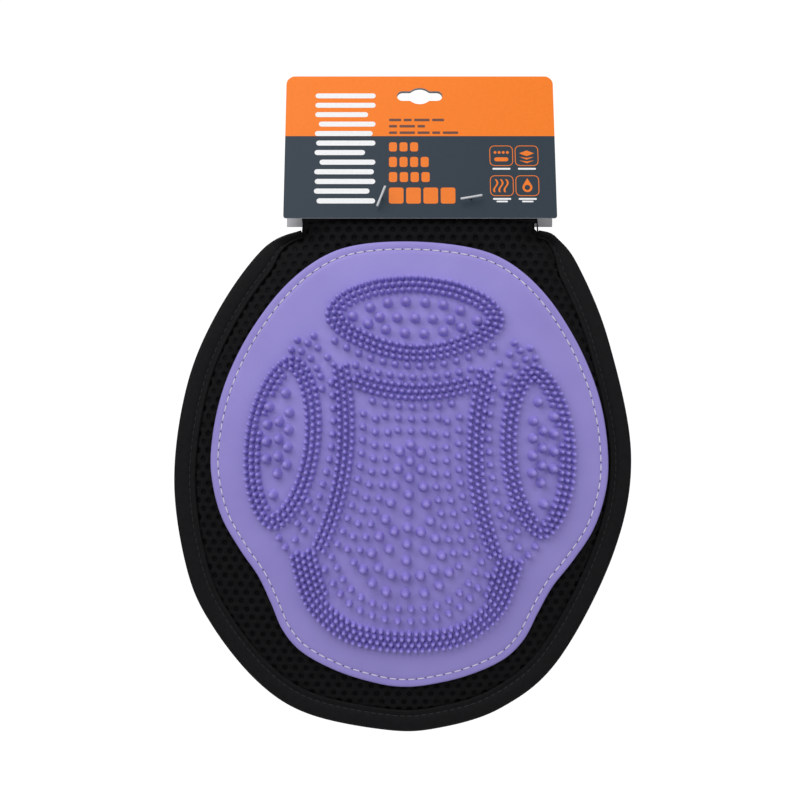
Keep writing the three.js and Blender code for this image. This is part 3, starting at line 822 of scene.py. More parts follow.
def normal_of(surface, x, z):
    """The unit vector that points out of a front surface."""
    h = 0.2
    dx = (surface(x + h, z) - surface(x - h, z)) / (2 * h)
    dz = (surface(x, z + h) - surface(x, z - h)) / (2 * h)
    n = np.stack(np.broadcast_arrays(-dx, -np.ones_like(dx), -dz), axis=-1)
    return n / np.linalg.norm(n, axis=-1, keepdims=True)


def pad_rings(insets, shares):
    """Rings of points on the pad: first at insets from its edge, then shrinking to its middle."""
    rings = [pad_edge + pad_edge_in * inset for inset in insets]
    rings += [rings[-1] * share for share in shares]
    at = pad_to_front(np.array(rings))
    return at[..., 0], at[..., 1]


ROUND = [(0, 0.8), (0.06, 0.5), (0.25, 0.22), (0.55, 0.06), (0.95, 0)]  # inset and drop of the edge
insets = np.array([inset for inset, _ in ROUND] + [1.6, 2.3, 2.9, 3.4, 3.9, 4.5, 5.3, 6.5, 8, 10, 12])
drops = np.array([drop for _, drop in ROUND] + [0] * 11)
drops = drops + 0.3 * np.exp(-(((insets - STITCH_INSET) / 0.8) ** 2))  # the thread pulls it down
shares = np.linspace(0.96, 0, 26)
x, z = pad_rings(insets, shares)
drops = np.concatenate([drops, np.zeros(len(shares))])[:, None]
pad_outer = place(x, pad_front(x, z) - drops, z)
rise = np.concatenate([[drop for _, drop in ROUND], np.zeros(len(insets) + len(shares) - len(ROUND))])
pad_inner = place(x, dome(x, z) + PAD_LIFT + rise[:, None], z)
rubber_pad = new_piece("rubber_pad", sheet_mesh("rubber_pad", pad_outer, pad_inner, loop=True), pad_rubber)
count(rubber_pad)

# %% [markdown]
# ## Where the nubs stand
# There are three sizes. Small ones make dense borders: a lens at the top, one on each side, and
# the bottle shape down the middle. Medium ones fill the bottle and line its outside. Large ones
# fill the lenses and fan down the centre. Each border is a smooth line, repeated inward.

# %% Nub rows
SMALL, MEDIUM, LARGE = 0, 1, 2
CLEAR = {(0, 0): 2.05, (0, 1): 2.6, (0, 2): 3.2, (1, 1): 3.6, (1, 2): 4.2, (2, 2): 5.0}
nubs = []


def stand(kind, points):
    """Stands nubs where there is room for them."""
    for u, v in points:
        crowded = any(
            math.hypot(u - a, v - b) < CLEAR[tuple(sorted((kind, other)))] for other, a, b in nubs
        )
        if not crowded:
            nubs.append((kind, float(u), float(v)))


def both_sides(points):
    return [(side * u, v) for u, v in points for side in ((1, -1) if u else (1,))]


def fan(u, v):
    """Columns run straight below the top lens and fan out toward the bottom."""
    return u + 0.0045 * max(0, 12 - v) ** 2


def bordered(outline, rows, pitch, gap):
    """Rows of small nubs along a closed line and inside it, each staggered to the next."""
    for row in range(rows):
        line = smooth_line(outline, 240, loop=True)
        line = line + (-inward(line, loop=True)) * gap * row
        length = float(np.linalg.norm(np.roll(line, -1, axis=0) - line, axis=1).sum())
        number = max(8, round(length / pitch))
        line = even_steps(np.concatenate([line, line[:1]]), 2 * number, loop=True)
        stand(SMALL, line[row % 2 :: 2])


# %% Large nubs
stand(LARGE, both_sides([(4, 69.3), (11.6, 68.5), (18.9, 66.4), (26, 62.5), (0, 62.5), (7.4, 62.5)]))
stand(LARGE, both_sides([(14.8, 62.5), (4, 56.2), (12, 57.4), (19.4, 59.5)]))
for row in range(5):
    drop = 7.3 * row
    stand(LARGE, both_sides([(60.5 - 0.18 * (row - 2) ** 2, 23.4 - drop), (51.2 + 0.12 * row, 21.4 - drop)]))
    if row < 4:
        stand(LARGE, both_sides([(55.4, 17.4 - drop)]))
stand(LARGE, both_sides([(53, 29.4), (57, -13.4)]))
stand(LARGE, [(0, 9.8 - 6.95 * row) for row in range(10)])
stand(LARGE, both_sides([(fan(4.2, 6.7 - 7.15 * row), 6.7 - 7.15 * row) for row in range(8)]))
stand(LARGE, both_sides([(5.6, -26.7), (7.5, -34.4), (11.7, -42.3), (14.1, -48.9), (6.1, -45.1), (8, -52.4)]))
print(len(nubs), "large nubs")

# %% Borders of small nubs
TOP_LENS = [(0, 79.6), (14, 78.2), (21, 76.3), (28, 73.4), (33, 69.8), (35.8, 66), (36.6, 62.6),
            (35.5, 59.5), (31, 55.3), (26, 52.3), (14, 47.6), (0, 45.6)]
bordered(TOP_LENS + [(-u, v) for u, v in TOP_LENS[-2:0:-1]], 3, 2.85, 2.6)

LENS_CENTRE, LENS_HALF = (53.7, 8.5), (15.2, 36.2)
LENS_TILT = math.radians(5.6)
for side in (1, -1):
    lens = []
    for step in range(36):
        angle = 2 * math.pi * step / 36
        across = LENS_HALF[0] * math.sin(angle) * abs(math.sin(angle)) ** 0.15
        up = LENS_HALF[1] * math.cos(angle)
        u = LENS_CENTRE[0] + across * math.cos(LENS_TILT) - up * math.sin(LENS_TILT)
        v = LENS_CENTRE[1] + up * math.cos(LENS_TILT) + across * math.sin(LENS_TILT)
        lens.append((side * u, v))
    bordered(lens if side > 0 else lens[::-1], 3, 2.9, 2.6)

HIP = [(48.5, -38), (46, -48), (41.6, -59.2), (34, -67.5), (24.4, -73.7), (12, -76.5), (0, -77.3)]
u_band = smooth_line(HIP + [(-u, v) for u, v in HIP[-2::-1]], 400)
u_band_in = -inward(u_band)
for row in range(5):
    line = u_band + u_band_in * 2.45 * row
    length = float(np.linalg.norm(np.diff(line, axis=0), axis=1).sum())
    line = even_steps(line, 2 * round(length / 2.9))[row % 2 :: 2]
    stand(SMALL, [(u, v) for u, v in line if row < 4 or v > -54])

for column, u0 in enumerate((24.3, 27.0, 29.6)):
    for step in range(28):
        v = 42 - 2.9 * step - 1.45 * (column % 2)
        u = fan(u0, v) + 0.004 * max(0, v - 12) ** 2
        stand(SMALL, both_sides([(u, v)]))
for row, top in enumerate((34.5, 31.8, 29.2)):
    for step in range(12):
        u = 2.85 * (step + 0.5 * (row % 2))
        stand(SMALL, both_sides([(u, top + 0.0071 * u * u)] if u < 31 else []))
print(len(nubs), "nubs with the borders")

# %% Medium nubs
U_ROWS = [
    [(0, -70.5), (12, -69.2), (22.3, -65.2), (30.5, -58), (36, -49)],
    [(0, -64.9), (11, -63.6), (20.5, -60), (27, -54.5), (32, -47.5)],
    [(0, -59.5), (10, -58.6), (19, -55), (25.5, -49), (29, -43)],
]
for row, points in enumerate(U_ROWS):
    line = smooth_line([(-u, v) for u, v in points[:0:-1]] + points, 200)
    length = float(np.linalg.norm(np.diff(line, axis=0), axis=1).sum())
    stand(MEDIUM, even_steps(line, 2 * round(length / 5.6) + 1)[row % 2 :: 2])
for u0, top in ((20.0, 22), (14.9, 20), (9.6, 14.5)):
    for step in range(16):
        v = top - 5.5 * step
        if v > -58:
            stand(MEDIUM, both_sides([(fan(u0, v), v)]))
for top, half_steps in ((25.5, 4), (20.5, 3), (15.4, 2)):
    for step in range(half_steps):
        u = 5.5 * step
        stand(MEDIUM, both_sides([(u, top + 0.0071 * u * u)]))
D_LINE = [(35.9, 45), (33.6, 32), (32.5, 18), (33.6, 3), (36.5, -9.6), (39.2, -20.3), (44, -29),
          (51.2, -35.4)]
E_LINE = [(38.5, 37), (37.2, 27), (36.9, 18), (37.8, 5), (40.6, -10.7), (44, -21.2), (49.7, -29.7),
          (54, -31.5)]
for points in (D_LINE, E_LINE):
    line = smooth_line(points, 200)
    length = float(np.linalg.norm(np.diff(line, axis=0), axis=1).sum())
    stand(MEDIUM, both_sides(even_steps(line, round(length / 5))))
for top, curve, pitch, last in ((38.0, 0.0071, 4.8, 34), (42.6, 0.0085, 5.1, 36)):
    for step in range(9):
        u = pitch * (step + (0 if top < 40 else 0.5))
        if u < last:
            stand(MEDIUM, both_sides([(u, top + curve * u * u)]))
stand(MEDIUM, both_sides([(48.9, 51.9), (51.3, 47.8), (42, 53.8), (44.4, 50.7), (47, 47.1)]))
stand(MEDIUM, both_sides([(40.2, 48.9), (43, 44.4), (40.2, 40.3)]))
print(len(nubs), "nubs in all")

# %% [markdown]
# ## One nub, many times
# A nub is a tapered post with a round tip and a flared root. The tree bends a small grid into that
# post: one side of the grid runs round it and the other climbs two curves, one for its width and
# one for its height. Instances of it stand on the points, square to the dome.

# %% Nub tree
nub_tree = bpy.data.node_groups.new("nubs_on_a_pad", "GeometryNodeTree")
nub_tree.is_modifier = True
nub_tree.interface.new_socket("Points", in_out="INPUT", socket_type="NodeSocketGeometry")
for label, value in (
    ("Small radius", 1.4), ("Medium radius", 1.72), ("Large radius", 2.4),
    ("Small height", 3.4), ("Medium height", 4.0), ("Large height", 4.6),
):
    socket = nub_tree.interface.new_socket(label, in_out="INPUT", socket_type="NodeSocketFloat")
    socket.default_value = value * MM
nub_tree.interface.new_socket("Nubs", in_out="OUTPUT", socket_type="NodeSocketGeometry")
nodes, links = nub_tree.nodes, nub_tree.links
post_frame = nodes.new("NodeFrame")
post_frame.label = "One nub"
stand_frame = nodes.new("NodeFrame")
stand_frame.label = "Size and direction"
given = nodes.new("NodeGroupInput")
given.label = "Points and sizes"
grid = nodes.new("GeometryNodeMeshGrid")
grid.label = "Round it x up it"
grid.inputs["Vertices X"].default_value = 9
grid.inputs["Vertices Y"].default_value = 6
spot = nodes.new("GeometryNodeInputPosition")
spot.label = "Place on the grid"
split = nodes.new("ShaderNodeSeparateXYZ")
split.label = "Round, up"
turn = nodes.new("ShaderNodeMath")
turn.label = "Angle round the nub"
turn.operation = "MULTIPLY"
turn.inputs[1].default_value = 2 * math.pi
climb = nodes.new("ShaderNodeMath")
climb.label = "Share of the way up"
climb.operation = "ADD"
climb.inputs[1].default_value = 0.5
width = nodes.new("ShaderNodeFloatCurve")
width.label = "Width on the way up"
height = nodes.new("ShaderNodeFloatCurve")
height.label = "Height on the way up"
STEPS = (0, 0.2, 0.4, 0.6, 0.8, 1)
WIDTHS = (1.0, 0.8, 0.62, 0.53, 0.33, 0)
HEIGHTS = (0, 0.2, 0.66, 0.85, 0.965, 1)
for curve, values in ((width, WIDTHS), (height, HEIGHTS)):
    line = curve.mapping.curves[0]
    while len(line.points) < len(STEPS):
        line.points.new(0.5, 0.5)
    for point, share, value in zip(line.points, STEPS, values):
        point.location = (share, value)
        point.handle_type = "VECTOR"
    curve.mapping.update()
cosine = nodes.new("ShaderNodeMath")
cosine.label = "Across"
cosine.operation = "COSINE"
sine = nodes.new("ShaderNodeMath")
sine.label = "Along"
sine.operation = "SINE"
out_across = nodes.new("ShaderNodeMath")
out_across.label = "Across x width"
out_across.operation = "MULTIPLY"
out_along = nodes.new("ShaderNodeMath")
out_along.label = "Along x width"
out_along.operation = "MULTIPLY"
shape = nodes.new("ShaderNodeCombineXYZ")
shape.label = "Place on the nub"
bend = nodes.new("GeometryNodeSetPosition")
bend.label = "Bend the grid round"
close = nodes.new("GeometryNodeMergeByDistance")
close.label = "Close the seam and the tip"
close.inputs["Distance"].default_value = 0.0001
kind = nodes.new("GeometryNodeInputNamedAttribute")
kind.label = "Which size"
kind.data_type = "INT"
kind.inputs["Name"].default_value = "kind"
radius = nodes.new("GeometryNodeIndexSwitch")
radius.label = "Radius of this size"
radius.data_type = "FLOAT"
radius.index_switch_items.new()
tall = nodes.new("GeometryNodeIndexSwitch")
tall.label = "Height of this size"
tall.data_type = "FLOAT"
tall.index_switch_items.new()
scale = nodes.new("ShaderNodeCombineXYZ")
scale.label = "Size of the nub"
out_way = nodes.new("GeometryNodeInputNamedAttribute")
out_way.label = "Out of the pad"
out_way.data_type = "FLOAT_VECTOR"
out_way.inputs["Name"].default_value = "outward"
upright = nodes.new("FunctionNodeAlignRotationToVector")
upright.label = "Square to the dome"
upright.axis = "Z"
plant = nodes.new("GeometryNodeInstanceOnPoints")
plant.label = "Stand the nubs"
real = nodes.new("GeometryNodeRealizeInstances")
real.label = "Real nubs"
dye = nodes.new("GeometryNodeSetMaterial")
dye.label = "Rubber"
dye.inputs["Material"].default_value = nub_rubber
done = nodes.new("NodeGroupOutput")
done.label = "Nubs"
post = (grid, spot, split, turn, climb, width, height, cosine, sine, out_across, out_along, shape, bend, close)
for node in post:
    node.parent = post_frame
for node in (kind, radius, tall, scale, out_way, upright):
    node.parent = stand_frame
order = post + (given, kind, radius, tall, scale, out_way, upright, plant, real, dye, done)
for step, node in enumerate(order):
    node.location = (170 * step, -190 * (step % 4))
links.new(spot.outputs[0], split.inputs[0])
links.new(split.outputs["X"], turn.inputs[0])
links.new(split.outputs["Y"], climb.inputs[0])
links.new(climb.outputs[0], width.inputs["Value"])
links.new(climb.outputs[0], height.inputs["Value"])
links.new(turn.outputs[0], cosine.inputs[0])
links.new(turn.outputs[0], sine.inputs[0])
links.new(cosine.outputs[0], out_across.inputs[0])
links.new(width.outputs[0], out_across.inputs[1])
links.new(sine.outputs[0], out_along.inputs[0])
links.new(width.outputs[0], out_along.inputs[1])
links.new(out_across.outputs[0], shape.inputs["X"])
links.new(out_along.outputs[0], shape.inputs["Y"])
links.new(height.outputs[0], shape.inputs["Z"])
links.new(grid.outputs["Mesh"], bend.inputs["Geometry"])
links.new(shape.outputs[0], bend.inputs["Position"])
links.new(bend.outputs[0], close.inputs["Geometry"])
links.new(kind.outputs[0], radius.inputs["Index"])
links.new(kind.outputs[0], tall.inputs["Index"])
for item, size_name in enumerate(("Small", "Medium", "Large")):
    links.new(given.outputs[f"{size_name} radius"], radius.inputs[item + 1])
    links.new(given.outputs[f"{size_name} height"], tall.inputs[item + 1])
links.new(radius.outputs[0], scale.inputs["X"])
links.new(radius.outputs[0], scale.inputs["Y"])
links.new(tall.outputs[0], scale.inputs["Z"])
links.new(out_way.outputs[0], upright.inputs["Vector"])
links.new(given.outputs["Points"], plant.inputs["Points"])
links.new(close.outputs[0], plant.inputs["Instance"])
links.new(upright.outputs[0], plant.inputs["Rotation"])
links.new(scale.outputs[0], plant.inputs["Scale"])
links.new(plant.outputs[0], real.inputs[0])
links.new(real.outputs[0], dye.inputs["Geometry"])
links.new(dye.outputs[0], done.inputs[0])

# %% Nubs on the pad
kinds = np.array([nub[0] for nub in nubs], np.int32)
at = pad_to_front([nub[1:] for nub in nubs])
outward = normal_of(pad_front, at[:, 0], at[:, 1])
roots = place(at[:, 0], pad_front(at[:, 0], at[:, 1]) - 0.08, at[:, 1])
nub_points = point_mesh("nub_points", roots, kind=kinds, outward=outward.astype(np.float32))
rubber_nubs = grow("rubber_nubs", nub_tree, nub_points, {"Large height": 4.6 * MM}, nub_rubber)

# %% [markdown]
# ## Air mesh
# Air mesh is a spacer knit: an outer net of round holes, standing on pile yarns over a plain inner
# knit. Drawn as a texture it would look flat at the edge of the pad, where it is seen close up.
# So one hexagonal cell with a rounded hole is repeated in staggered rows, welded into a net, and
# dropped on the bag's surface. Cells outside the panel go, and those on its edge are drawn in.

# %% Net tree
net_tree = bpy.data.node_groups.new("net_on_a_panel", "GeometryNodeTree")
net_tree.is_modifier = True
net_tree.interface.new_socket("Panel", in_out="INPUT", socket_type="NodeSocketGeometry")
for label, value in (("Pitch", 4.65), ("Hole radius", 1.5), ("Net height", 1.0)):
    socket = net_tree.interface.new_socket(label, in_out="INPUT", socket_type="NodeSocketFloat")
    socket.default_value = value * MM
squeeze = net_tree.interface.new_socket("Row squeeze", in_out="INPUT", socket_type="NodeSocketFloat")
squeeze.default_value = 0.894
net_tree.interface.new_socket("Middle", in_out="INPUT", socket_type="NodeSocketVector")
net_tree.interface.new_socket("Facing", in_out="INPUT", socket_type="NodeSocketVector")
net_tree.interface.new_socket("Net", in_out="OUTPUT", socket_type="NodeSocketGeometry")
nodes, links = net_tree.nodes, net_tree.links
cell_frame = nodes.new("NodeFrame")
cell_frame.label = "One cell of the net"
rows_frame = nodes.new("NodeFrame")
rows_frame.label = "Staggered rows of cells"
drop_frame = nodes.new("NodeFrame")
drop_frame.label = "Dropped on the bag"
given = nodes.new("NodeGroupInput")
given.label = "Panel and sizes"
grid = nodes.new("GeometryNodeMeshGrid")
grid.label = "Round the hole x down its wall"
grid.inputs["Vertices X"].default_value = 13
grid.inputs["Vertices Y"].default_value = 4
spot = nodes.new("GeometryNodeInputPosition")
spot.label = "Place on the grid"
split = nodes.new("ShaderNodeSeparateXYZ")
split.label = "Round, inward"
angle = nodes.new("ShaderNodeMath")
angle.label = "Angle round the hole"
angle.operation = "MULTIPLY"
angle.inputs[1].default_value = 2 * math.pi
share = nodes.new("ShaderNodeMath")
share.label = "Share of the way in"
share.operation = "ADD"
share.inputs[1].default_value = 0.5
shifted = nodes.new("ShaderNodeMath")
shifted.label = "Angle from a corner"
shifted.operation = "ADD"
shifted.inputs[1].default_value = math.pi / 6
wrapped = nodes.new("ShaderNodeMath")
wrapped.label = "Within one side"
wrapped.operation = "FLOORED_MODULO"
wrapped.inputs[1].default_value = math.pi / 3
from_side = nodes.new("ShaderNodeMath")
from_side.label = "Angle from mid side"
from_side.operation = "SUBTRACT"
from_side.inputs[1].default_value = math.pi / 6
side_cos = nodes.new("ShaderNodeMath")
side_cos.label = "Cosine of that"
side_cos.operation = "COSINE"
half_pitch = nodes.new("ShaderNodeMath")
half_pitch.label = "Half the pitch"
half_pitch.operation = "MULTIPLY"
half_pitch.inputs[1].default_value = 0.5
hex_radius = nodes.new("ShaderNodeMath")
hex_radius.label = "Out to the hexagon"
hex_radius.operation = "DIVIDE"
cosine = nodes.new("ShaderNodeMath")
cosine.label = "Across"
cosine.operation = "COSINE"
sine = nodes.new("ShaderNodeMath")
sine.label = "Up"
sine.operation = "SINE"
squeezed = nodes.new("ShaderNodeMath")
squeezed.label = "Up, squeezed"
squeezed.operation = "MULTIPLY"
hex_way = nodes.new("ShaderNodeCombineXYZ")
hex_way.label = "Toward the hexagon"
hole_way = nodes.new("ShaderNodeCombineXYZ")
hole_way.label = "Toward the hole's rim"
hex_spot = nodes.new("ShaderNodeVectorMath")
hex_spot.label = "On the hexagon"
hex_spot.operation = "SCALE"
flare = nodes.new("ShaderNodeFloatCurve")
flare.label = "Rim opens outward"
wide = nodes.new("ShaderNodeMath")
wide.label = "Rim radius"
wide.operation = "MULTIPLY"
hole_spot = nodes.new("ShaderNodeVectorMath")
hole_spot.label = "On the rim"
hole_spot.operation = "SCALE"
inside = nodes.new("ShaderNodeMath")
inside.label = "Already at the rim"
inside.operation = "MULTIPLY"
inside.inputs[1].default_value = 3
inside.use_clamp = True
flat_spot = nodes.new("ShaderNodeMix")
flat_spot.label = "Hexagon to rim"
flat_spot.data_type = "VECTOR"
sink = nodes.new("ShaderNodeFloatCurve")
sink.label = "Depth on the way in"
down = nodes.new("ShaderNodeMath")
down.label = "Depth in the net"
down.operation = "MULTIPLY"
inward_way = nodes.new("ShaderNodeCombineXYZ")
inward_way.label = "Into the cloth"
cell_spot = nodes.new("ShaderNodeVectorMath")
cell_spot.label = "Place on the cell"
cell_spot.operation = "SUBTRACT"
bend = nodes.new("GeometryNodeSetPosition")
bend.label = "Bend the grid round"
close = nodes.new("GeometryNodeMergeByDistance")
close.label = "Close the seam"
close.inputs["Distance"].default_value = 0.01 * MM
for curve, values in ((flare, (1, 1, 0.8, 0.84)), (sink, (0, 0.12, 0.5, 1))):
    line = curve.mapping.curves[0]
    while len(line.points) < 4:
        line.points.new(0.5, 0.5)
    for step, (point, value) in enumerate(zip(line.points, values)):
        point.location = (step / 3, value)
        point.handle_type = "VECTOR"
    curve.mapping.update()
cell = (grid, spot, split, angle, share, shifted, wrapped, from_side, side_cos, half_pitch, hex_radius,
        cosine, sine, squeezed, hex_way, hole_way, hex_spot, flare, wide, hole_spot, inside, flat_spot,
        sink, down, inward_way, cell_spot, bend, close)
for node in cell:
    node.parent = cell_frame
links.new(spot.outputs[0], split.inputs[0])
links.new(split.outputs["X"], angle.inputs[0])
links.new(split.outputs["Y"], share.inputs[0])
links.new(angle.outputs[0], shifted.inputs[0])
links.new(shifted.outputs[0], wrapped.inputs[0])
links.new(wrapped.outputs[0], from_side.inputs[0])
links.new(from_side.outputs[0], side_cos.inputs[0])
links.new(given.outputs["Pitch"], half_pitch.inputs[0])
links.new(half_pitch.outputs[0], hex_radius.inputs[0])
links.new(side_cos.outputs[0], hex_radius.inputs[1])
links.new(angle.outputs[0], cosine.inputs[0])
links.new(angle.outputs[0], sine.inputs[0])
links.new(sine.outputs[0], squeezed.inputs[0])
links.new(given.outputs["Row squeeze"], squeezed.inputs[1])
links.new(cosine.outputs[0], hex_way.inputs["X"])
links.new(squeezed.outputs[0], hex_way.inputs["Z"])
links.new(cosine.outputs[0], hole_way.inputs["X"])
links.new(sine.outputs[0], hole_way.inputs["Z"])
links.new(hex_way.outputs[0], hex_spot.inputs[0])
links.new(hex_radius.outputs[0], hex_spot.inputs["Scale"])
links.new(share.outputs[0], flare.inputs["Value"])
links.new(flare.outputs[0], wide.inputs[0])
links.new(given.outputs["Hole radius"], wide.inputs[1])
links.new(hole_way.outputs[0], hole_spot.inputs[0])
links.new(wide.outputs[0], hole_spot.inputs["Scale"])
links.new(share.outputs[0], inside.inputs[0])
links.new(inside.outputs[0], flat_spot.inputs[0])
links.new(hex_spot.outputs[0], flat_spot.inputs[4])
links.new(hole_spot.outputs[0], flat_spot.inputs[5])
links.new(share.outputs[0], sink.inputs["Value"])
links.new(sink.outputs[0], down.inputs[0])
links.new(given.outputs["Net height"], down.inputs[1])
links.new(down.outputs[0], inward_way.inputs["Y"])
links.new(flat_spot.outputs[1], cell_spot.inputs[0])
links.new(inward_way.outputs[0], cell_spot.inputs[1])
links.new(grid.outputs["Mesh"], bend.inputs["Geometry"])
links.new(cell_spot.outputs[0], bend.inputs["Position"])
links.new(bend.outputs[0], close.inputs["Geometry"])

# %% Rows of cells
CELLS_ACROSS, ROW_PAIRS = 46, 34
full_width = nodes.new("ShaderNodeMath")
full_width.label = "Width of a row"
full_width.operation = "MULTIPLY"
full_width.inputs[1].default_value = CELLS_ACROSS
pair_height = nodes.new("ShaderNodeMath")
pair_height.label = "Height of two rows"
pair_height.operation = "MULTIPLY"
pair_height.inputs[1].default_value = math.sqrt(3)
squeezed_pair = nodes.new("ShaderNodeMath")
squeezed_pair.label = "Two rows, squeezed"
squeezed_pair.operation = "MULTIPLY"
full_height = nodes.new("ShaderNodeMath")
full_height.label = "Height of all rows"
full_height.operation = "MULTIPLY"
full_height.inputs[1].default_value = ROW_PAIRS
rows = nodes.new("GeometryNodeMeshGrid")
rows.label = "Every other row"
rows.inputs["Vertices X"].default_value = CELLS_ACROSS + 1
rows.inputs["Vertices Y"].default_value = ROW_PAIRS + 1
half_row = nodes.new("ShaderNodeMath")
half_row.label = "Half the height of two rows"
half_row.operation = "MULTIPLY"
half_row.inputs[1].default_value = 0.5
stagger = nodes.new("ShaderNodeCombineXYZ")
stagger.label = "Half a step over and up"
between = nodes.new("GeometryNodeTransform")
between.label = "The rows between"
all_rows = nodes.new("GeometryNodeJoinGeometry")
all_rows.label = "All rows"
upright = nodes.new("GeometryNodeTransform")
upright.label = "Stand them up"
upright.inputs["Rotation"].default_value = (math.pi / 2, 0, 0)
for node in (full_width, pair_height, squeezed_pair, full_height, rows, half_row, stagger, between,
             all_rows, upright):
    node.parent = rows_frame
links.new(given.outputs["Pitch"], full_width.inputs[0])
links.new(given.outputs["Pitch"], pair_height.inputs[0])
links.new(pair_height.outputs[0], squeezed_pair.inputs[0])
links.new(given.outputs["Row squeeze"], squeezed_pair.inputs[1])
links.new(squeezed_pair.outputs[0], full_height.inputs[0])
links.new(full_width.outputs[0], rows.inputs["Size X"])
links.new(full_height.outputs[0], rows.inputs["Size Y"])
links.new(squeezed_pair.outputs[0], half_row.inputs[0])
links.new(half_pitch.outputs[0], stagger.inputs["X"])
links.new(half_row.outputs[0], stagger.inputs["Y"])
links.new(rows.outputs["Mesh"], between.inputs["Geometry"])
links.new(stagger.outputs[0], between.inputs["Translation"])
links.new(rows.outputs["Mesh"], all_rows.inputs[0])
links.new(between.outputs[0], all_rows.inputs[0])
links.new(all_rows.outputs[0], upright.inputs["Geometry"])
links.new(given.outputs["Middle"], upright.inputs["Translation"])

# %% Drop the net on the panel
here = nodes.new("GeometryNodeInputPosition")
here.label = "Place on the flat net"
flat = nodes.new("ShaderNodeVectorMath")
flat.label = "Without its depth"
flat.operation = "MULTIPLY"
flat.inputs[1].default_value = (1, 0, 1)
ahead = nodes.new("ShaderNodeVectorMath")
ahead.label = "In front of the panel"
ahead.operation = "ADD"
toward = nodes.new("ShaderNodeVectorMath")
toward.label = "Toward the panel"
toward.operation = "SCALE"
toward.inputs["Scale"].default_value = -1
found = nodes.new("GeometryNodeRaycast")
found.label = "Is a cell over the panel?"
found.inputs["Ray Length"].default_value = 5
missed = nodes.new("FunctionNodeBooleanMath")
missed.label = "Cells off the panel"
missed.operation = "NOT"
kept = nodes.new("GeometryNodeDeleteGeometry")
kept.label = "Only cells on the panel"
place_cells = nodes.new("GeometryNodeInstanceOnPoints")
place_cells.label = "A cell at each point"
real = nodes.new("GeometryNodeRealizeInstances")
real.label = "Real cells"
weld = nodes.new("GeometryNodeMergeByDistance")
weld.label = "Weld cells into a net"
weld.inputs["Distance"].default_value = 0.05 * MM
near = nodes.new("GeometryNodeProximity")
near.label = "Nearest edge of the panel"
near.target_element = "FACES"
base = nodes.new("GeometryNodeSwitch")
base.label = "Under the net, or at the edge"
base.input_type = "VECTOR"
out_way = nodes.new("GeometryNodeSwitch")
out_way.label = "Out of the cloth"
out_way.input_type = "VECTOR"
depth = nodes.new("ShaderNodeSeparateXYZ")
depth.label = "Depth in the net"
lift = nodes.new("ShaderNodeVectorMath")
lift.label = "That depth, square to the cloth"
lift.operation = "SCALE"
final = nodes.new("ShaderNodeVectorMath")
final.label = "Place on the bag"
final.operation = "ADD"
lay = nodes.new("GeometryNodeSetPosition")
lay.label = "Lay the net on the bag"
dye = nodes.new("GeometryNodeSetMaterial")
dye.label = "Black polyester"
dye.inputs["Material"].default_value = air_mesh_cloth
done = nodes.new("NodeGroupOutput")
done.label = "Net"
drop = (here, flat, ahead, toward, found, missed, kept, place_cells, real, weld, near, base, out_way,
        depth, lift, final, lay, dye)
for node in drop:
    node.parent = drop_frame
order = cell + (given, full_width, pair_height, squeezed_pair, full_height, rows, half_row, stagger,
                between, all_rows, upright) + drop + (done,)
for step, node in enumerate(order):
    node.location = (150 * (step % 16), -260 * (step // 16) - 60 * (step % 2))
links.new(here.outputs[0], flat.inputs[0])
links.new(flat.outputs[0], ahead.inputs[0])
links.new(given.outputs["Facing"], ahead.inputs[1])
links.new(given.outputs["Facing"], toward.inputs[0])
links.new(given.outputs["Panel"], found.inputs["Target Geometry"])
links.new(ahead.outputs[0], found.inputs["Source Position"])
links.new(toward.outputs[0], found.inputs["Ray Direction"])
links.new(found.outputs["Is Hit"], missed.inputs[0])
links.new(upright.outputs[0], kept.inputs["Geometry"])
links.new(missed.outputs[0], kept.inputs["Selection"])
links.new(kept.outputs[0], place_cells.inputs["Points"])
links.new(close.outputs[0], place_cells.inputs["Instance"])
links.new(place_cells.outputs[0], real.inputs[0])
links.new(real.outputs[0], weld.inputs["Geometry"])
links.new(given.outputs["Panel"], near.inputs["Geometry"])
links.new(found.outputs["Is Hit"], base.inputs["Switch"])
links.new(near.outputs["Position"], base.inputs["False"])
links.new(found.outputs["Hit Position"], base.inputs["True"])
links.new(found.outputs["Is Hit"], out_way.inputs["Switch"])
links.new(given.outputs["Facing"], out_way.inputs["False"])
links.new(found.outputs["Hit Normal"], out_way.inputs["True"])
links.new(here.outputs[0], depth.inputs[0])
links.new(out_way.outputs[0], lift.inputs[0])
links.new(depth.outputs["Y"], lift.inputs["Scale"])
links.new(base.outputs[0], final.inputs[0])
links.new(lift.outputs[0], final.inputs[1])
links.new(weld.outputs[0], lay.inputs["Geometry"])
links.new(final.outputs[0], lay.inputs["Position"])
links.new(lay.outputs[0], dye.inputs["Geometry"])
links.new(dye.outputs[0], done.inputs[0])

# %% The panel's outline
NECK_HALF = 49.3
NECK_RIM = -40.3
PANEL_INSET = 1.0
PANEL_MIDDLE = np.array([-4.5, -150])


def panel_outline():
    """The free edge, a little inside the tape, and on round the neck."""
    bag = (free_edge + free_edge_in * PANEL_INSET)[::2]
    right = np.array([bag[-1], (47.6, -58), (NECK_HALF, -52), (NECK_HALF, NECK_RIM)])
    left = right[::-1] * (-1, 1)
    left[-1] = bag[0]
    top = np.array([right[-1], left[0]])
    round_neck = [even_steps(right, 14)[1:], even_steps(top, 44)[1:], even_steps(left, 14)[1:-1]]
    return np.concatenate([bag] + round_neck)


outline = panel_outline()
pulls = np.concatenate([np.linspace(0, 0.3, 19), np.linspace(0.33, 1, 17)])[:, None, None]
panel_grid = outline + (PANEL_MIDDLE - outline) * pulls
px, pz = panel_grid[..., 0], panel_grid[..., 1]

# %% Two panels of air mesh
NET_HEIGHT = 1.0


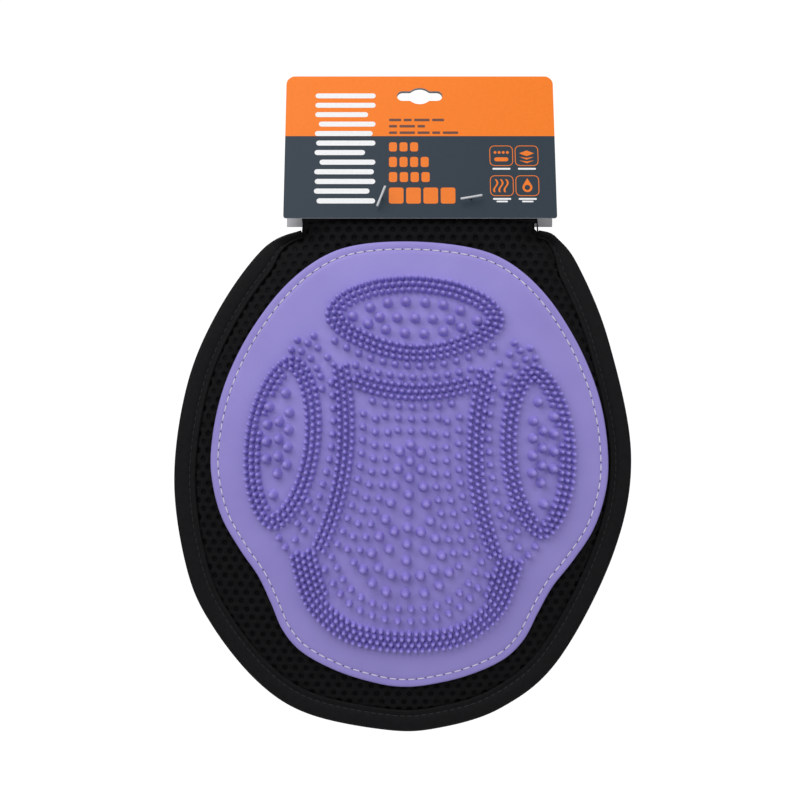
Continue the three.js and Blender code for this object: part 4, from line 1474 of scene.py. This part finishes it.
def air_mesh_panel(name, surface, thickness, facing):
    """The net and, behind it, the closed inner knit. facing is -1 for the front and 1 for the back."""
    outer = surface(px, pz)
    # depth grows forward, so the front's inside is at less depth
    skin = place(px, outer, pz)
    rows, columns = skin.shape[:2]
    faces = []
    for r in range(rows - 1):
        for c in range(columns):
            quad = [r * columns + c, r * columns + (c + 1) % columns,
                    (r + 1) * columns + (c + 1) % columns, (r + 1) * columns + c]
            faces.append(quad if facing < 0 else quad[::-1])
    panel = bpy.data.meshes.new(name + "_skin")
    panel.from_pydata(skin.reshape(-1, 3).tolist(), [], faces)
    bm = bmesh.new()
    bm.from_mesh(panel)
    bmesh.ops.remove_doubles(bm, verts=bm.verts, dist=1e-6)
    bm.normal_update()
    if sum(f.normal.y * f.calc_area() for f in bm.faces) * facing < 0:
        bmesh.ops.reverse_faces(bm, faces=bm.faces)
    bm.to_mesh(panel)
    bm.free()
    sizes = {"Middle": (PANEL_MIDDLE[0] * MM, 0, PANEL_MIDDLE[1] * MM), "Facing": (0, facing, 0)}
    net = grow(name, net_tree, panel, sizes, air_mesh_cloth, inner_knit)
    thick = thickness(px, pz)
    under = np.minimum(NET_HEIGHT, thick - 0.4)
    knit = sheet_mesh(name + "_knit", place(px, outer + facing * under, pz),
                      place(px, outer + facing * thick, pz), loop=True)
    bm = bmesh.new()
    bm.from_mesh(net.data)
    bm.normal_update()
    if sum(f.normal.y * f.calc_area() for f in bm.faces) * facing < 0:
        bmesh.ops.reverse_faces(bm, faces=bm.faces)
    net_faces = len(bm.faces)
    bm.from_mesh(knit)
    bm.faces.ensure_lookup_table()
    for face in bm.faces[net_faces:]:
        face.material_index = 1
        face.smooth = True
    bm.to_mesh(net.data)
    bm.free()
    return count(net)


front_air_mesh = air_mesh_panel("front_air_mesh", front_of, front_thickness, -1)
back_air_mesh = air_mesh_panel("back_air_mesh", rear_of, rear_thickness, 1)

# %% [markdown]
# ## Edge binding
# The tape is folded over the two layers of mesh and sewn through. It is thin where it comes out of
# the neck and soon reaches its full width. A curve with a bevel profile could be used, but a real
# tape swells between its fold and its stitches and puckers at every stitch, so its section is
# worked out at each step along the edge.

# %% Tape section
TAPE = 0.6
STITCH_PITCH = 3.1
EDGE_STITCH = 0.75  # share of the width at which the stitches run
stations = np.arange(len(free_edge))
along = stations * free_edge_length / (len(free_edge) - 1)
width = binding_width(along)[:, None]
across_leg = np.linspace(1, 0.2, 13)  # from the inner edge of a leg to the start of the fold
turn = np.linspace(0, math.pi, 13)[1:-1]


def puff(share):
    """How far the tape stands off the mesh at a share of its width."""
    swell = 0.42 * np.sin(np.pi * np.clip(share / EDGE_STITCH, 0, 1)) ** 0.8
    lip = 0.16 * ease(EDGE_STITCH, 1, share)
    pinch = 0.26 * np.exp(-(((share - EDGE_STITCH) / 0.07) ** 2))
    return swell + lip - pinch


def leg(surface, side):
    """One leg of the tape: where it runs, and its depth. side is 1 in front and -1 behind."""
    inset = width * across_leg
    at = free_edge[:, None] + free_edge_in[:, None] * inset[..., None]
    wave = (0.05 * np.cos(2 * np.pi * along / STITCH_PITCH)[:, None]
            * np.exp(-(((across_leg - 0.75) / 0.2) ** 2)))
    sag = 0.14 * np.sin(along / 17 + 1)[:, None] + 0.1 * np.sin(along / 7.3)[:, None]
    depth = surface(at[..., 0], at[..., 1]) + side * (
        0.12 + TAPE / 2 + puff(across_leg) + wave + sag * across_leg)
    return at, depth


front_at, front_depth = leg(front_of, 1)
rear_at, rear_depth = leg(rear_of, -1)
mid_depth = (front_depth[:, -1:] + rear_depth[:, -1:]) / 2
half_depth = (front_depth[:, -1:] - rear_depth[:, -1:]) / 2
fold_inset = width * across_leg[-1] * (1 - np.sin(turn))
fold_at = free_edge[:, None] + free_edge_in[:, None] * fold_inset[..., None]
fold_depth = mid_depth + half_depth * np.cos(turn)
tape_at = np.concatenate([front_at, fold_at, rear_at[:, ::-1]], axis=1)
tape_depth = np.concatenate([front_depth, fold_depth, rear_depth[:, ::-1]], axis=1)
middle = place(tape_at[..., 0], tape_depth, tape_at[..., 1])


# %% Sheets from one grid
def sheet_around(name, middle, thickness, finish, uv=None):
    """A closed sheet of even thickness around a grid of points."""
    by_row, by_column = np.gradient(middle, axis=0), np.gradient(middle, axis=1)
    normal = np.cross(by_row, by_column)
    normal /= np.maximum(np.linalg.norm(normal, axis=-1, keepdims=True), 1e-12)
    half = normal * thickness * MM / 2
    return new_piece(name, sheet_mesh(name, middle + half, middle - half, uv=uv), finish)


def cloth_uv(grid):
    """Millimetres along the rows and the columns of a grid, for a weave."""
    def run(axis):
        step = np.linalg.norm(np.diff(grid, axis=axis), axis=-1)
        start = np.zeros_like(np.take(step, [0], axis=axis))
        return np.concatenate([start, np.cumsum(step, axis=axis)], axis=axis) / MM

    return np.stack([run(0), run(1)], axis=-1)


edge_binding = sheet_around("edge_binding_tape", middle, TAPE, tape_cloth, cloth_uv(middle))
count(edge_binding)

# %% [markdown]
# ## Wrist band and side seams
# The same tape is folded over the rim of the wrist mouth, front and back, and a strip closes each
# side of the neck. The band reaches a little below the card, where it shows as a smooth dark line.

# %% Wrist bands
BAND = 0.4
BAND_RIM, BAND_HALF = -39.75, 49.4
BAND_FOOT, BAND_DROP = -54.8, 2.4  # the foot sinks towards the two ends
across = np.linspace(-BAND_HALF, BAND_HALF, 80)


def foot_of(x):
    """The strip's lower edge, which sinks a little towards its two ends."""
    return BAND_FOOT - BAND_DROP * np.abs(x / BAND_HALF) ** 3


def wrist_band(name, surface, thickness, side):
    """A strip folded over the rim: down its outer face, over the top and a short way down inside."""
    x, share = np.meshgrid(across, np.linspace(0, 1, 14), indexing="ij")
    z = foot_of(x) + (BAND_RIM - foot_of(x)) * share
    outer = surface(x, z) + side * (0.16 + BAND / 2)
    inner_z = np.linspace(BAND_RIM, -52, 9)
    xi, zi = np.meshgrid(across, inner_z, indexing="ij")
    inner = surface(xi, zi) - side * (thickness(xi, zi) + 0.16 + BAND / 2)
    mid = (outer[:, -1:] + inner[:, :1]) / 2
    half = (outer[:, -1:] - inner[:, :1]) / 2
    arc = np.linspace(0, math.pi, 7)[1:-1]
    over = mid + half * np.cos(arc)
    over_z = BAND_RIM + np.abs(half) * np.sin(arc)
    over_x = np.broadcast_to(across[:, None], over.shape)
    wave = 0.12 * np.sin(across / 9)[:, None]
    gx = np.concatenate([x, over_x, xi], axis=1)
    gd = np.concatenate([outer + wave, over + wave, inner + wave], axis=1)
    gz = np.concatenate([z, over_z, zi], axis=1)
    grid = place(gx, gd, gz)
    return count(sheet_around(name, grid, BAND, tape_cloth, cloth_uv(grid)))


front_band = wrist_band("wrist_band_front_tape", front_of, front_thickness, 1)
back_band = wrist_band("wrist_band_back_tape", rear_of, rear_thickness, -1)

# %% Side seams
SIDE_FOOT = -59.4


SIDE_PULLS = {1: 2.6, -1: 0.9}  # how far the right and the left edge of the neck slant in


def side_seam(name, side):
    """A strip that wraps the two side edges of the neck and bulges a little outward."""
    z = np.linspace(NECK_RIM, SIDE_FOOT, 16)
    round_it = np.linspace(0, 1, 11)
    g_z, g_t = np.meshgrid(z, round_it, indexing="ij")
    edge_x = NECK_HALF + 0.35 - SIDE_PULLS[side] * ease(-50, -60, g_z)
    low, high = rear_of(side * edge_x, g_z) - 0.3, front_of(side * edge_x, g_z) + 0.3
    bulge = 1.1 * np.sin(np.pi * g_t) - 1.6 * (2 * np.abs(g_t - 0.5)) ** 6
    grid = place(side * (edge_x + bulge), mix(low, high, g_t), g_z)
    return count(sheet_around(name, grid, BAND, tape_cloth, cloth_uv(grid)))


left_seam = side_seam("neck_side_tape_left", -1)
right_seam = side_seam("neck_side_tape_right", 1)

# %% [markdown]
# ## Stitches
# Every row of stitches is the same thing: short lengths of thread laid along a line at an even
# pitch. One tree does them all. It is given a line that knows which way is out of the cloth.

# %% Stitch tree
stitch_tree = bpy.data.node_groups.new("stitches_on_a_line", "GeometryNodeTree")
stitch_tree.is_modifier = True
stitch_tree.interface.new_socket("Line", in_out="INPUT", socket_type="NodeSocketGeometry")
for label, value in (("Pitch", 3.1), ("Length", 2.4), ("Width", 0.5), ("Height", 0.4)):
    new_socket = stitch_tree.interface.new_socket(label, in_out="INPUT", socket_type="NodeSocketFloat")
    new_socket.default_value = value * MM
stitch_tree.interface.new_socket("Thread", in_out="INPUT", socket_type="NodeSocketMaterial")
stitch_tree.interface.new_socket("Stitches", in_out="OUTPUT", socket_type="NodeSocketGeometry")
nodes, links = stitch_tree.nodes, stitch_tree.links
line_frame = nodes.new("NodeFrame")
line_frame.label = "Needle points on the line"
thread_frame = nodes.new("NodeFrame")
thread_frame.label = "One stitch"
given = nodes.new("NodeGroupInput")
given.label = "Line and sizes"
to_curve = nodes.new("GeometryNodeMeshToCurve")
to_curve.label = "Line as a curve"
paced = nodes.new("GeometryNodeResampleCurve")
paced.label = "Even pitch"
paced.mode = "LENGTH"
tangent = nodes.new("GeometryNodeInputTangent")
tangent.label = "Along the line"
out_way = nodes.new("GeometryNodeInputNamedAttribute")
out_way.label = "Out of the cloth"
out_way.data_type = "FLOAT_VECTOR"
out_way.inputs["Name"].default_value = "outward"
lie = nodes.new("FunctionNodeAxesToRotation")
lie.label = "Lie along the line"
lie.primary_axis = "Z"
lie.secondary_axis = "X"
bead = nodes.new("GeometryNodeMeshUVSphere")
bead.label = "Round-ended thread"
bead.inputs["Segments"].default_value = 10
bead.inputs["Rings"].default_value = 6
bead.inputs["Radius"].default_value = 0.5
size = nodes.new("ShaderNodeCombineXYZ")
size.label = "Size of a stitch"
sew = nodes.new("GeometryNodeInstanceOnPoints")
sew.label = "Lay the stitches"
real = nodes.new("GeometryNodeRealizeInstances")
real.label = "Real stitches"
dye = nodes.new("GeometryNodeSetMaterial")
dye.label = "Thread"
done = nodes.new("NodeGroupOutput")
done.label = "Stitches"
for node in (to_curve, paced, tangent, out_way, lie):
    node.parent = line_frame
for node in (bead, size):
    node.parent = thread_frame
order = (given, to_curve, paced, tangent, out_way, lie, bead, size, sew, real, dye, done)
for step, node in enumerate(order):
    node.location = (190 * step, -180 * (step % 3))
links.new(given.outputs["Line"], to_curve.inputs[0])
links.new(to_curve.outputs[0], paced.inputs["Curve"])
links.new(given.outputs["Pitch"], paced.inputs["Length"])
links.new(out_way.outputs[0], lie.inputs["Primary Axis"])
links.new(tangent.outputs[0], lie.inputs["Secondary Axis"])
links.new(given.outputs["Length"], size.inputs["X"])
links.new(given.outputs["Width"], size.inputs["Y"])
links.new(given.outputs["Height"], size.inputs["Z"])
links.new(paced.outputs[0], sew.inputs["Points"])
links.new(bead.outputs["Mesh"], sew.inputs["Instance"])
links.new(lie.outputs[0], sew.inputs["Rotation"])
links.new(size.outputs[0], sew.inputs["Scale"])
links.new(sew.outputs[0], real.inputs[0])
links.new(real.outputs[0], dye.inputs["Geometry"])
links.new(given.outputs["Thread"], dye.inputs["Material"])
links.new(dye.outputs[0], done.inputs[0])


# %% Rows of stitches
def sewn_line(name, x, depth, z, outward, sizes, finish, loop=False):
    """A row of stitches along points, with the way out of the cloth at each."""
    mesh = bpy.data.meshes.new(name)
    points = place(x, depth, z)
    edges = [(k, k + 1) for k in range(len(points) - 1)] + ([(len(points) - 1, 0)] if loop else [])
    mesh.from_pydata(points.tolist(), edges, [])
    stored = mesh.attributes.new("outward", "FLOAT_VECTOR", "POINT")
    stored.data.foreach_set("vector", np.broadcast_to(outward, points.shape).astype(np.float32).ravel())
    return grow(name, stitch_tree, mesh, {**sizes, "Thread": finish}, finish)


EDGE_THREAD = {"Pitch": STITCH_PITCH * MM, "Length": 2.6 * MM, "Width": 0.5 * MM, "Height": 0.42 * MM}
row = int(np.argmin(np.abs(across_leg - EDGE_STITCH)))
sewn = slice(6, -6)
front_stitches = sewn_line(
    "edge_stitches_front", front_at[sewn, row, 0], front_depth[sewn, row] + TAPE / 2 + 0.06,
    front_at[sewn, row, 1], (0, -1, 0), EDGE_THREAD, dark_thread,
)
rear_stitches = sewn_line(
    "edge_stitches_back", rear_at[sewn, row, 0], rear_depth[sewn, row] - TAPE / 2 - 0.06,
    rear_at[sewn, row, 1], (0, 1, 0), EDGE_THREAD, dark_thread,
)

PAD_THREAD = {"Pitch": 4.0 * MM, "Length": 3.3 * MM, "Width": 0.52 * MM, "Height": 0.4 * MM}
# The needle holes are painted shade: flat dark violet beads laid on the pad between the stitches.
NEEDLE_HOLE_SHADE = {"Pitch": 4.0 * MM, "Length": 0.9 * MM, "Width": 0.62 * MM, "Height": 0.16 * MM}
seam = pad_edge + pad_edge_in * STITCH_INSET
seam_at = pad_to_front(seam)
seam_out = normal_of(pad_front, seam_at[:, 0], seam_at[:, 1])
seam_depth = pad_front(seam_at[:, 0], seam_at[:, 1]) - 0.3
pad_stitches = sewn_line(
    "pad_stitches", seam_at[:, 0], seam_depth + 0.12, seam_at[:, 1], seam_out, PAD_THREAD, pale_thread,
    loop=True,
)
seam_step = float(np.linalg.norm(seam[1] - seam[0]))
half_a_stitch = round(2.0 / seam_step)
pad_needle_hole_shade = sewn_line(
    "pad_needle_hole_shade", np.roll(seam_at[:, 0], -half_a_stitch), np.roll(seam_depth, -half_a_stitch) + 0.02,
    np.roll(seam_at[:, 1], -half_a_stitch), np.roll(seam_out, -half_a_stitch, axis=0), NEEDLE_HOLE_SHADE, needle_hole_shade,
    loop=True,
)

# %% [markdown]
# ## Header card
# One strip of coated board is folded over the neck. It could be two flat boxes, but the fold is
# what makes it a card. So the strip is drawn flat, with its hang slots and pin holes, cut into
# narrow rows at the fold, and then bent there.

# %% The bent strip
BOARD = 0.6
LEAN = math.radians(11.2)
card_low, card_high = (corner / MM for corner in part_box("card_back_panel"))
CARD_HALF = (card_high.x - card_low.x) / 2
FOLD_RADIUS = 0.45
FOLD_Z = card_high.z - BOARD / 2 - FOLD_RADIUS
BACK_DEPTH = REST - card_high.y + BOARD / 2
BACK_LENGTH = FOLD_Z - card_low.z
FOLD_TURN = math.pi - LEAN
FOLD_LENGTH = FOLD_RADIUS * FOLD_TURN
FLAP_LENGTH = 64.5
FLAP_START = BACK_LENGTH + FOLD_LENGTH
CREST = BACK_LENGTH + FOLD_LENGTH / 2  # the top of the fold, from the foot of the back panel
print("card", round(2 * CARD_HALF, 1), "mm wide, back panel", round(BACK_LENGTH, 1), "mm long")


def bent(x, s, off):
    """From the flat strip to the bent card: s runs up the back, over the fold and down the flap."""
    x, s, off = (np.asarray(v, float) for v in (x, s, off))
    a = np.clip((s - BACK_LENGTH) / FOLD_RADIUS, 0, FOLD_TURN)
    up = np.minimum(s, BACK_LENGTH) - BACK_LENGTH
    out = np.maximum(s - FLAP_START, 0)
    depth = BACK_DEPTH + FOLD_RADIUS * (1 - np.cos(a)) + out * math.sin(LEAN) - off * np.cos(a)
    z = FOLD_Z + up + FOLD_RADIUS * np.sin(a) - out * math.cos(LEAN) + off * np.sin(a)
    return place(x, depth, z)


def arc(x, s, radius, start, end, steps=8):
    """Points on an arc of the flat strip."""
    angles = np.linspace(math.radians(start), math.radians(end), steps)
    return [(x + radius * math.cos(a), s + radius * math.sin(a)) for a in angles]


# %% Flat shapes and thin slabs
def filled(loops):
    """A flat mesh between closed loops: the first loop is the outline and the others are holes."""
    bm = bmesh.new()
    for loop in loops:
        corners = [bm.verts.new((x, s, 0)) for x, s in loop]
        for one, other in zip(corners, corners[1:] + corners[:1]):
            bm.edges.new((one, other))
    bmesh.ops.triangle_fill(bm, edges=bm.edges, use_beauty=True)
    return bm


def slab(name, shapes, low, high, cuts, *finishes):
    """Thin slabs on the bent strip, from flat shapes: finishes are for the outer face and the rest."""
    points, faces, marks, flats = [], [], [], []
    for bm in shapes:
        for s in cuts:
            whole = bm.verts[:] + bm.edges[:] + bm.faces[:]
            bmesh.ops.bisect_plane(bm, geom=whole, plane_co=(0, s, 0), plane_no=(0, 1, 0), dist=1e-4)
        bm.verts.index_update()
        start = len(flats)
        number = len(bm.verts)
        flats += [v.co[:2] for v in bm.verts] * 2
        points += [high] * number + [low] * number
        bm.normal_update()
        for face in bm.faces:
            ring = [v.index + start for v in face.verts]
            ring = ring if face.normal.z > 0 else ring[::-1]
            faces += [ring, [k + number for k in ring[::-1]]]
            marks += [0, 1]
        for edge in bm.edges:
            if len(edge.link_faces) == 1:
                a, b = (v.index + start for v in edge.verts)
                faces.append([a, b, b + number, a + number])
                marks.append(1)
        bm.free()
    flats = np.array(flats)
    mesh = bpy.data.meshes.new(name)
    mesh.from_pydata(bent(flats[:, 0], flats[:, 1], np.array(points)).tolist(), [], faces)
    layer = mesh.uv_layers.new(name="print")
    corners = np.zeros(len(mesh.loops), int)
    mesh.loops.foreach_get("vertex_index", corners)
    from_crest = np.stack([flats[:, 0], np.abs(flats[:, 1] - CREST)], axis=-1)[corners]
    layer.data.foreach_set("uv", from_crest.ravel())
    mesh.polygons.foreach_set("material_index", [min(mark, len(finishes) - 1) for mark in marks])
    bm = bmesh.new()
    bm.from_mesh(mesh)
    bmesh.ops.recalc_face_normals(bm, faces=bm.faces)
    bm.to_mesh(mesh)
    bm.free()
    piece = new_piece(name, mesh, *finishes)
    mesh.set_sharp_from_angle(angle=math.radians(40))
    return count(piece)


# %% The card
CORNER = 3.7
SLOT_HALF, SLOT_ARM, SLOT_BUMP, SLOT_BUMP_TOP = 9.8, 2.25, 6.2, 3.8
SLOT_Z = -0.9  # the middle of the cut, just under the middle of the hook
PIN_HOLE = 0.7


def hang_slot(s):
    """A slot with round ends and a shallow bump above and below its middle."""
    sink = SLOT_BUMP - SLOT_BUMP_TOP
    half = math.degrees(math.acos((SLOT_ARM + sink) / SLOT_BUMP))
    return (arc(SLOT_HALF - SLOT_ARM, s, SLOT_ARM, -90, 90)
            + arc(0, s - sink, SLOT_BUMP, 90 - half, 90 + half)
            + arc(SLOT_ARM - SLOT_HALF, s, SLOT_ARM, 90, 270)
            + arc(0, s + sink, SLOT_BUMP, -90 - half, -90 + half))


pins = {}
for side in ("left", "right"):
    low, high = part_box(f"tag_pin_{side}")
    pins[side] = ((low.x + high.x) / 2 / MM, (low.z + high.z) / 2 / MM)

right_edge = [(CARD_HALF, 0)] + arc(CARD_HALF - CORNER, BACK_LENGTH - CORNER + 0.4, CORNER, 0, 90)
right_edge += arc(CARD_HALF - CORNER, FLAP_START + CORNER - 0.4, CORNER, -90, 0)
right_edge += arc(CARD_HALF - 1, FLAP_START + FLAP_LENGTH - 1, 1, 0, 90, 4)
strip = right_edge + [(-x, s) for x, s in right_edge[::-1]]
flap_drop = lambda z: FLAP_START + (FOLD_Z + FOLD_RADIUS * math.sin(FOLD_TURN) - z) / math.cos(LEAN)
holes = [hang_slot(BACK_LENGTH - FOLD_Z + SLOT_Z), hang_slot(flap_drop(SLOT_Z))]
for x, z in pins.values():
    holes += [arc(x, BACK_LENGTH - FOLD_Z + z, PIN_HOLE, 0, 330, 12),
              arc(x, flap_drop(z), PIN_HOLE, 0, 330, 12)]
fold_cuts = np.linspace(BACK_LENGTH, FLAP_START, 11)
header_card = slab(
    "header_card", [filled([strip] + holes)], -BOARD / 2, BOARD / 2, fold_cuts, printed_board, bare_board_painted_shade,
)

# %% [markdown]
# ## Print
# The card is printed in two flat colours with a block of large shapes, four short lines, three
# fine ones and four small signs. Here the words are plain bars and the signs are plain
# figures of care and comfort. They could be a picture on the card, but thin films of ink stay sharp.


# %% Print shapes
def bar(x0, x1, top, bottom, radius=0.4):
    """A round-cornered bar on the flap: across from x0 to x1, and down from top to bottom."""
    low, high = FLAP_START + top, FLAP_START + bottom
    r = min(radius, (x1 - x0) / 2.01, (high - low) / 2.01)
    return (arc(x1 - r, high - r, r, 0, 90, 4) + arc(x0 + r, high - r, r, 90, 180, 4)
            + arc(x0 + r, low + r, r, 180, 270, 4) + arc(x1 - r, low + r, r, 270, 360, 4))


def ring(x0, x1, top, bottom, line, radius):
    """An outlined box, as an outline and a hole."""
    return [bar(x0, x1, top, bottom, radius),
            bar(x0 + line, x1 - line, top + line, bottom - line, radius - line)]


BLOCKS_LEFT, BLOCKS_RIGHT = -44.9, -19.0
white_shapes = []
for block in range(6):
    top = 7.6 + 8.75 * block
    shrink = (0, 3.2, 1.2, 4.4, 0.6, 2.4)[block]
    white_shapes.append([bar(BLOCKS_LEFT, BLOCKS_RIGHT - shrink, top, top + 2.3, 1.1)])
    white_shapes.append([bar(BLOCKS_LEFT + shrink / 2, BLOCKS_RIGHT, top + 4.4, top + 6.7, 1.1)])

orange_shapes = []
BLOCKS = ((30.3, 4.2, 3, 4.5), (37.0, 4.6, 4, 4.5), (43.9, 4.5, 4, 4.6), (50.9, 7.2, 4, 7.3))
for top, height, letters, step in BLOCKS:
    for letter in range(letters):
        left = -13.2 + step * letter
        orange_shapes.append([bar(left, left + step - 1.1, top, top + height, 0.9)])

dark_shapes = []
for top, right in ((19.4, 10.4), (22.3, 2.2), (25.3, 19.4)):
    left = -13.2
    while left < right - 2:
        word = min(right, left + (5.2, 3.4, 6.6)[len(dark_shapes) % 3])
        dark_shapes.append([bar(left, word, top, top + 1.15, 0.3)])
        left = word + 1.1

# %% Small signs
SIGN_WIDE, SIGN_TALL = 10.0, 9.3
for column, left in enumerate((29.6, 40.4)):
    for line, top in enumerate((31.8, 45.4)):
        right, bottom = left + SIGN_WIDE, top + SIGN_TALL
        orange_shapes.append(ring(left, right, top, bottom, 0.32, 2.0))
        middle_x, middle_s = left + SIGN_WIDE / 2, FLAP_START + top + SIGN_TALL / 2
        if (column, line) == (0, 0):  # fingertips on fur
            orange_shapes += [[arc(middle_x - 2.6 + 1.75 * k, middle_s - 1.5, 0.62, 0, 330, 12)]
                              for k in range(4)]
            orange_shapes.append([bar(middle_x - 3, middle_x + 3, top + 5.4, top + 7.2, 0.9)])
        elif (column, line) == (1, 0):  # soft layers
            for k in range(3):
                high = middle_s - 2.3 + 1.6 * k
                orange_shapes.append([[(middle_x + 3.2, high + 1.2), (middle_x, high + 2.5),
                                       (middle_x - 3.2, high + 1.2),
                                       (middle_x, high - 0.1 if k == 0 else high + 1.7)]])
        elif (column, line) == (0, 1):  # waves of air
            for k in range(3):
                t = np.linspace(0, 1, 13)
                wave = [(middle_x - 2.6 + 2.2 * k + 0.75 * math.sin(5.6 * a), middle_s - 2.9 + 5.8 * a)
                        for a in t]
                orange_shapes.append([[(x + 0.38, s) for x, s in wave]
                                      + [(x - 0.38, s) for x, s in wave[::-1]]])
        else:  # a drop of water
            drop = arc(middle_x, middle_s + 0.8, 2.1, -30, 210, 18) + [(middle_x, middle_s - 3.4)]
            orange_shapes.append([drop, arc(middle_x, middle_s + 0.8, 1.2, 0, 345, 14)])
        white_shapes.append([bar(left + 1.2, right - 1.2, bottom + 0.9, bottom + 1.7, 0.3)])
        if line:
            white_shapes.append([bar(left + 2.6, right - 2.6, bottom + 2.1, bottom + 2.8, 0.3)])

INK_LOW, INK_HIGH = BOARD / 2 - 0.02, BOARD / 2 + 0.03


def printed(name, shapes, finish):
    """The film of one ink on the card's outer face."""
    return slab(name, [filled(loops) for loops in shapes], INK_LOW, INK_HIGH, (), finish)


white_print = printed("print_white", white_shapes, white_ink)
orange_print = printed("print_orange", orange_shapes, orange_ink)
dark_print = printed("print_dark", dark_shapes, dark_ink)

# %% [markdown]
# ## Tag pins
# Each pin is one nylon moulding: two cross bars and a thin filament between them. Turned shapes
# make them, from a short profile, with rounded ends and a fillet where the filament meets a bar.


# %% Turned shapes
def turned(profile, start, end, sides=16):
    """Rings of points round a line from start to end: profile is (share along, radius in mm)."""
    start, end = np.array(start, float), np.array(end, float)
    way = end - start
    way /= np.linalg.norm(way)
    side = np.cross(way, (0.3, 0.2, 0.9))
    side /= np.linalg.norm(side)
    other = np.cross(way, side)
    angles = np.linspace(0, 2 * math.pi, sides, endpoint=False)
    rings = []
    for share, radius in profile:
        spread = np.cos(angles)[:, None] * side + np.sin(angles)[:, None] * other
        rings.append(start + (end - start) * share + spread * radius * MM)
    return np.array(rings)


def joined(name, grids, finish):
    """Several turned shapes as one mesh."""
    points, faces = [], []
    for grid in grids:
        rows, columns = grid.shape[:2]
        base = len(points)
        points += grid.reshape(-1, 3).tolist()
        for r in range(rows - 1):
            for c in range(columns):
                here, ahead = r * columns + c + base, r * columns + (c + 1) % columns + base
                faces.append((here, ahead, ahead + columns, here + columns))
    mesh = bpy.data.meshes.new(name)
    mesh.from_pydata(points, [], faces)
    return count(new_piece(name, tidy_mesh(mesh, 2e-7), finish))


ROUND_ENDS = [(0, 0), (0.008, 0.3), (0.03, 0.46), (0.07, 0.5), (0.5, 0.44), (0.93, 0.5), (0.97, 0.46),
              (0.992, 0.3), (1, 0)]
FILLET = [(0, 0.5), (0.04, 0.36), (0.1, 0.24), (0.5, 0.2), (0.9, 0.24), (0.96, 0.4), (1, 0.55)]
PIN_ANGLES = {"left": 68, "right": 9.6}
PIN_LENGTH = 9.4
pin_pieces = []
for side, (x, z) in pins.items():
    low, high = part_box(f"tag_pin_{side}")
    reach = math.radians(PIN_ANGLES[side])
    arm = np.array([math.cos(reach), 0, math.sin(reach)]) * PIN_LENGTH / 2 * MM
    grids = []
    ends = []
    for y, thick in ((low.y + 0.5 * MM, 1.0), (high.y - 0.4 * MM, 0.8)):
        spot = np.array([x * MM, y, z * MM])
        ends.append(spot)
        profile = [(share, radius * thick) for share, radius in ROUND_ENDS]
        grids.append(turned(profile, spot - arm, spot + arm))
    grids.append(turned(FILLET, ends[1], ends[0], 12))
    pin_pieces.append(joined(f"nylon_pin_{side}", grids, nylon))

# %% [markdown]
# ## Foam and lining
# Under the pad a layer of foam and a thin lining keep the rubber's underside off the palm. They
# can be seen only through the wrist mouth. Both are plain sheets that follow the dome.

# %% Foam and lining
AIR = 0.45
layer_inset = {"foam": 13, "lining": 11}
layers = {}
for name, inset in layer_inset.items():
    x, z = pad_rings([inset, inset + 0.4, inset + 1.5], np.linspace(0.95, 0, 16))
    top = front_of(x, z) - front_thickness(x, z) - AIR
    layers[name] = (x, z, top)
x, z, top = layers["foam"]
foam_core = new_piece(
    "foam_core", sheet_mesh("foam_core", place(x, top, z), place(x, top - 1.2, z), loop=True), foam,
)
x, z, top = layers["lining"]
lining_top = top - 1.2 - AIR
palm_lining = new_piece(
    "palm_lining_cloth",
    sheet_mesh("palm_lining_cloth", place(x, lining_top, z), place(x, lining_top - 0.4, z), loop=True),
    lining_cloth,
)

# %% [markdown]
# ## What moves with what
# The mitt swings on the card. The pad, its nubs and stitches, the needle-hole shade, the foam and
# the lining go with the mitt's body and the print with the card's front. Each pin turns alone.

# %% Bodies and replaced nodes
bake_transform(front_air_mesh)
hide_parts("front_mesh_panel", "neck_front_mesh")
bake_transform(back_air_mesh)
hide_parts("back_mesh_panel", "neck_back_mesh")
for piece, node in (
    (edge_binding, "edge_binding"), (front_band, "wrist_band_front"), (back_band, "wrist_band_back"),
    (left_seam, "neck_side_seam_left"), (right_seam, "neck_side_seam_right"),
):
    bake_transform(piece)
    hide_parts(node)
for piece, node in ((front_stitches, "edge_stitching_front"), (rear_stitches, "edge_stitching_back")):
    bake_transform(piece)
    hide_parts(node)
for piece, node, slot_name in (
    (rubber_pad, "nub_pad", "pad_rubber"), (rubber_nubs, "nub_pad", "pad_rubber"),
    (pad_stitches, "pad_stitching", "pale_thread"), (foam_core, "foam_interlining", "foam"),
    (palm_lining, "palm_lining", "lining"),
):
    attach(piece, "mitt")
    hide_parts(node)
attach(pad_needle_hole_shade, "mitt")
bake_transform(header_card)
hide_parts("card_back_panel", "card_front_panel")
for piece in (white_print, orange_print, dark_print):
    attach(piece, "card_front")
for piece, side in zip(pin_pieces, pins):
    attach(piece, f"tag_pin_{side}")
    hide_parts(f"tag_pin_{side}")
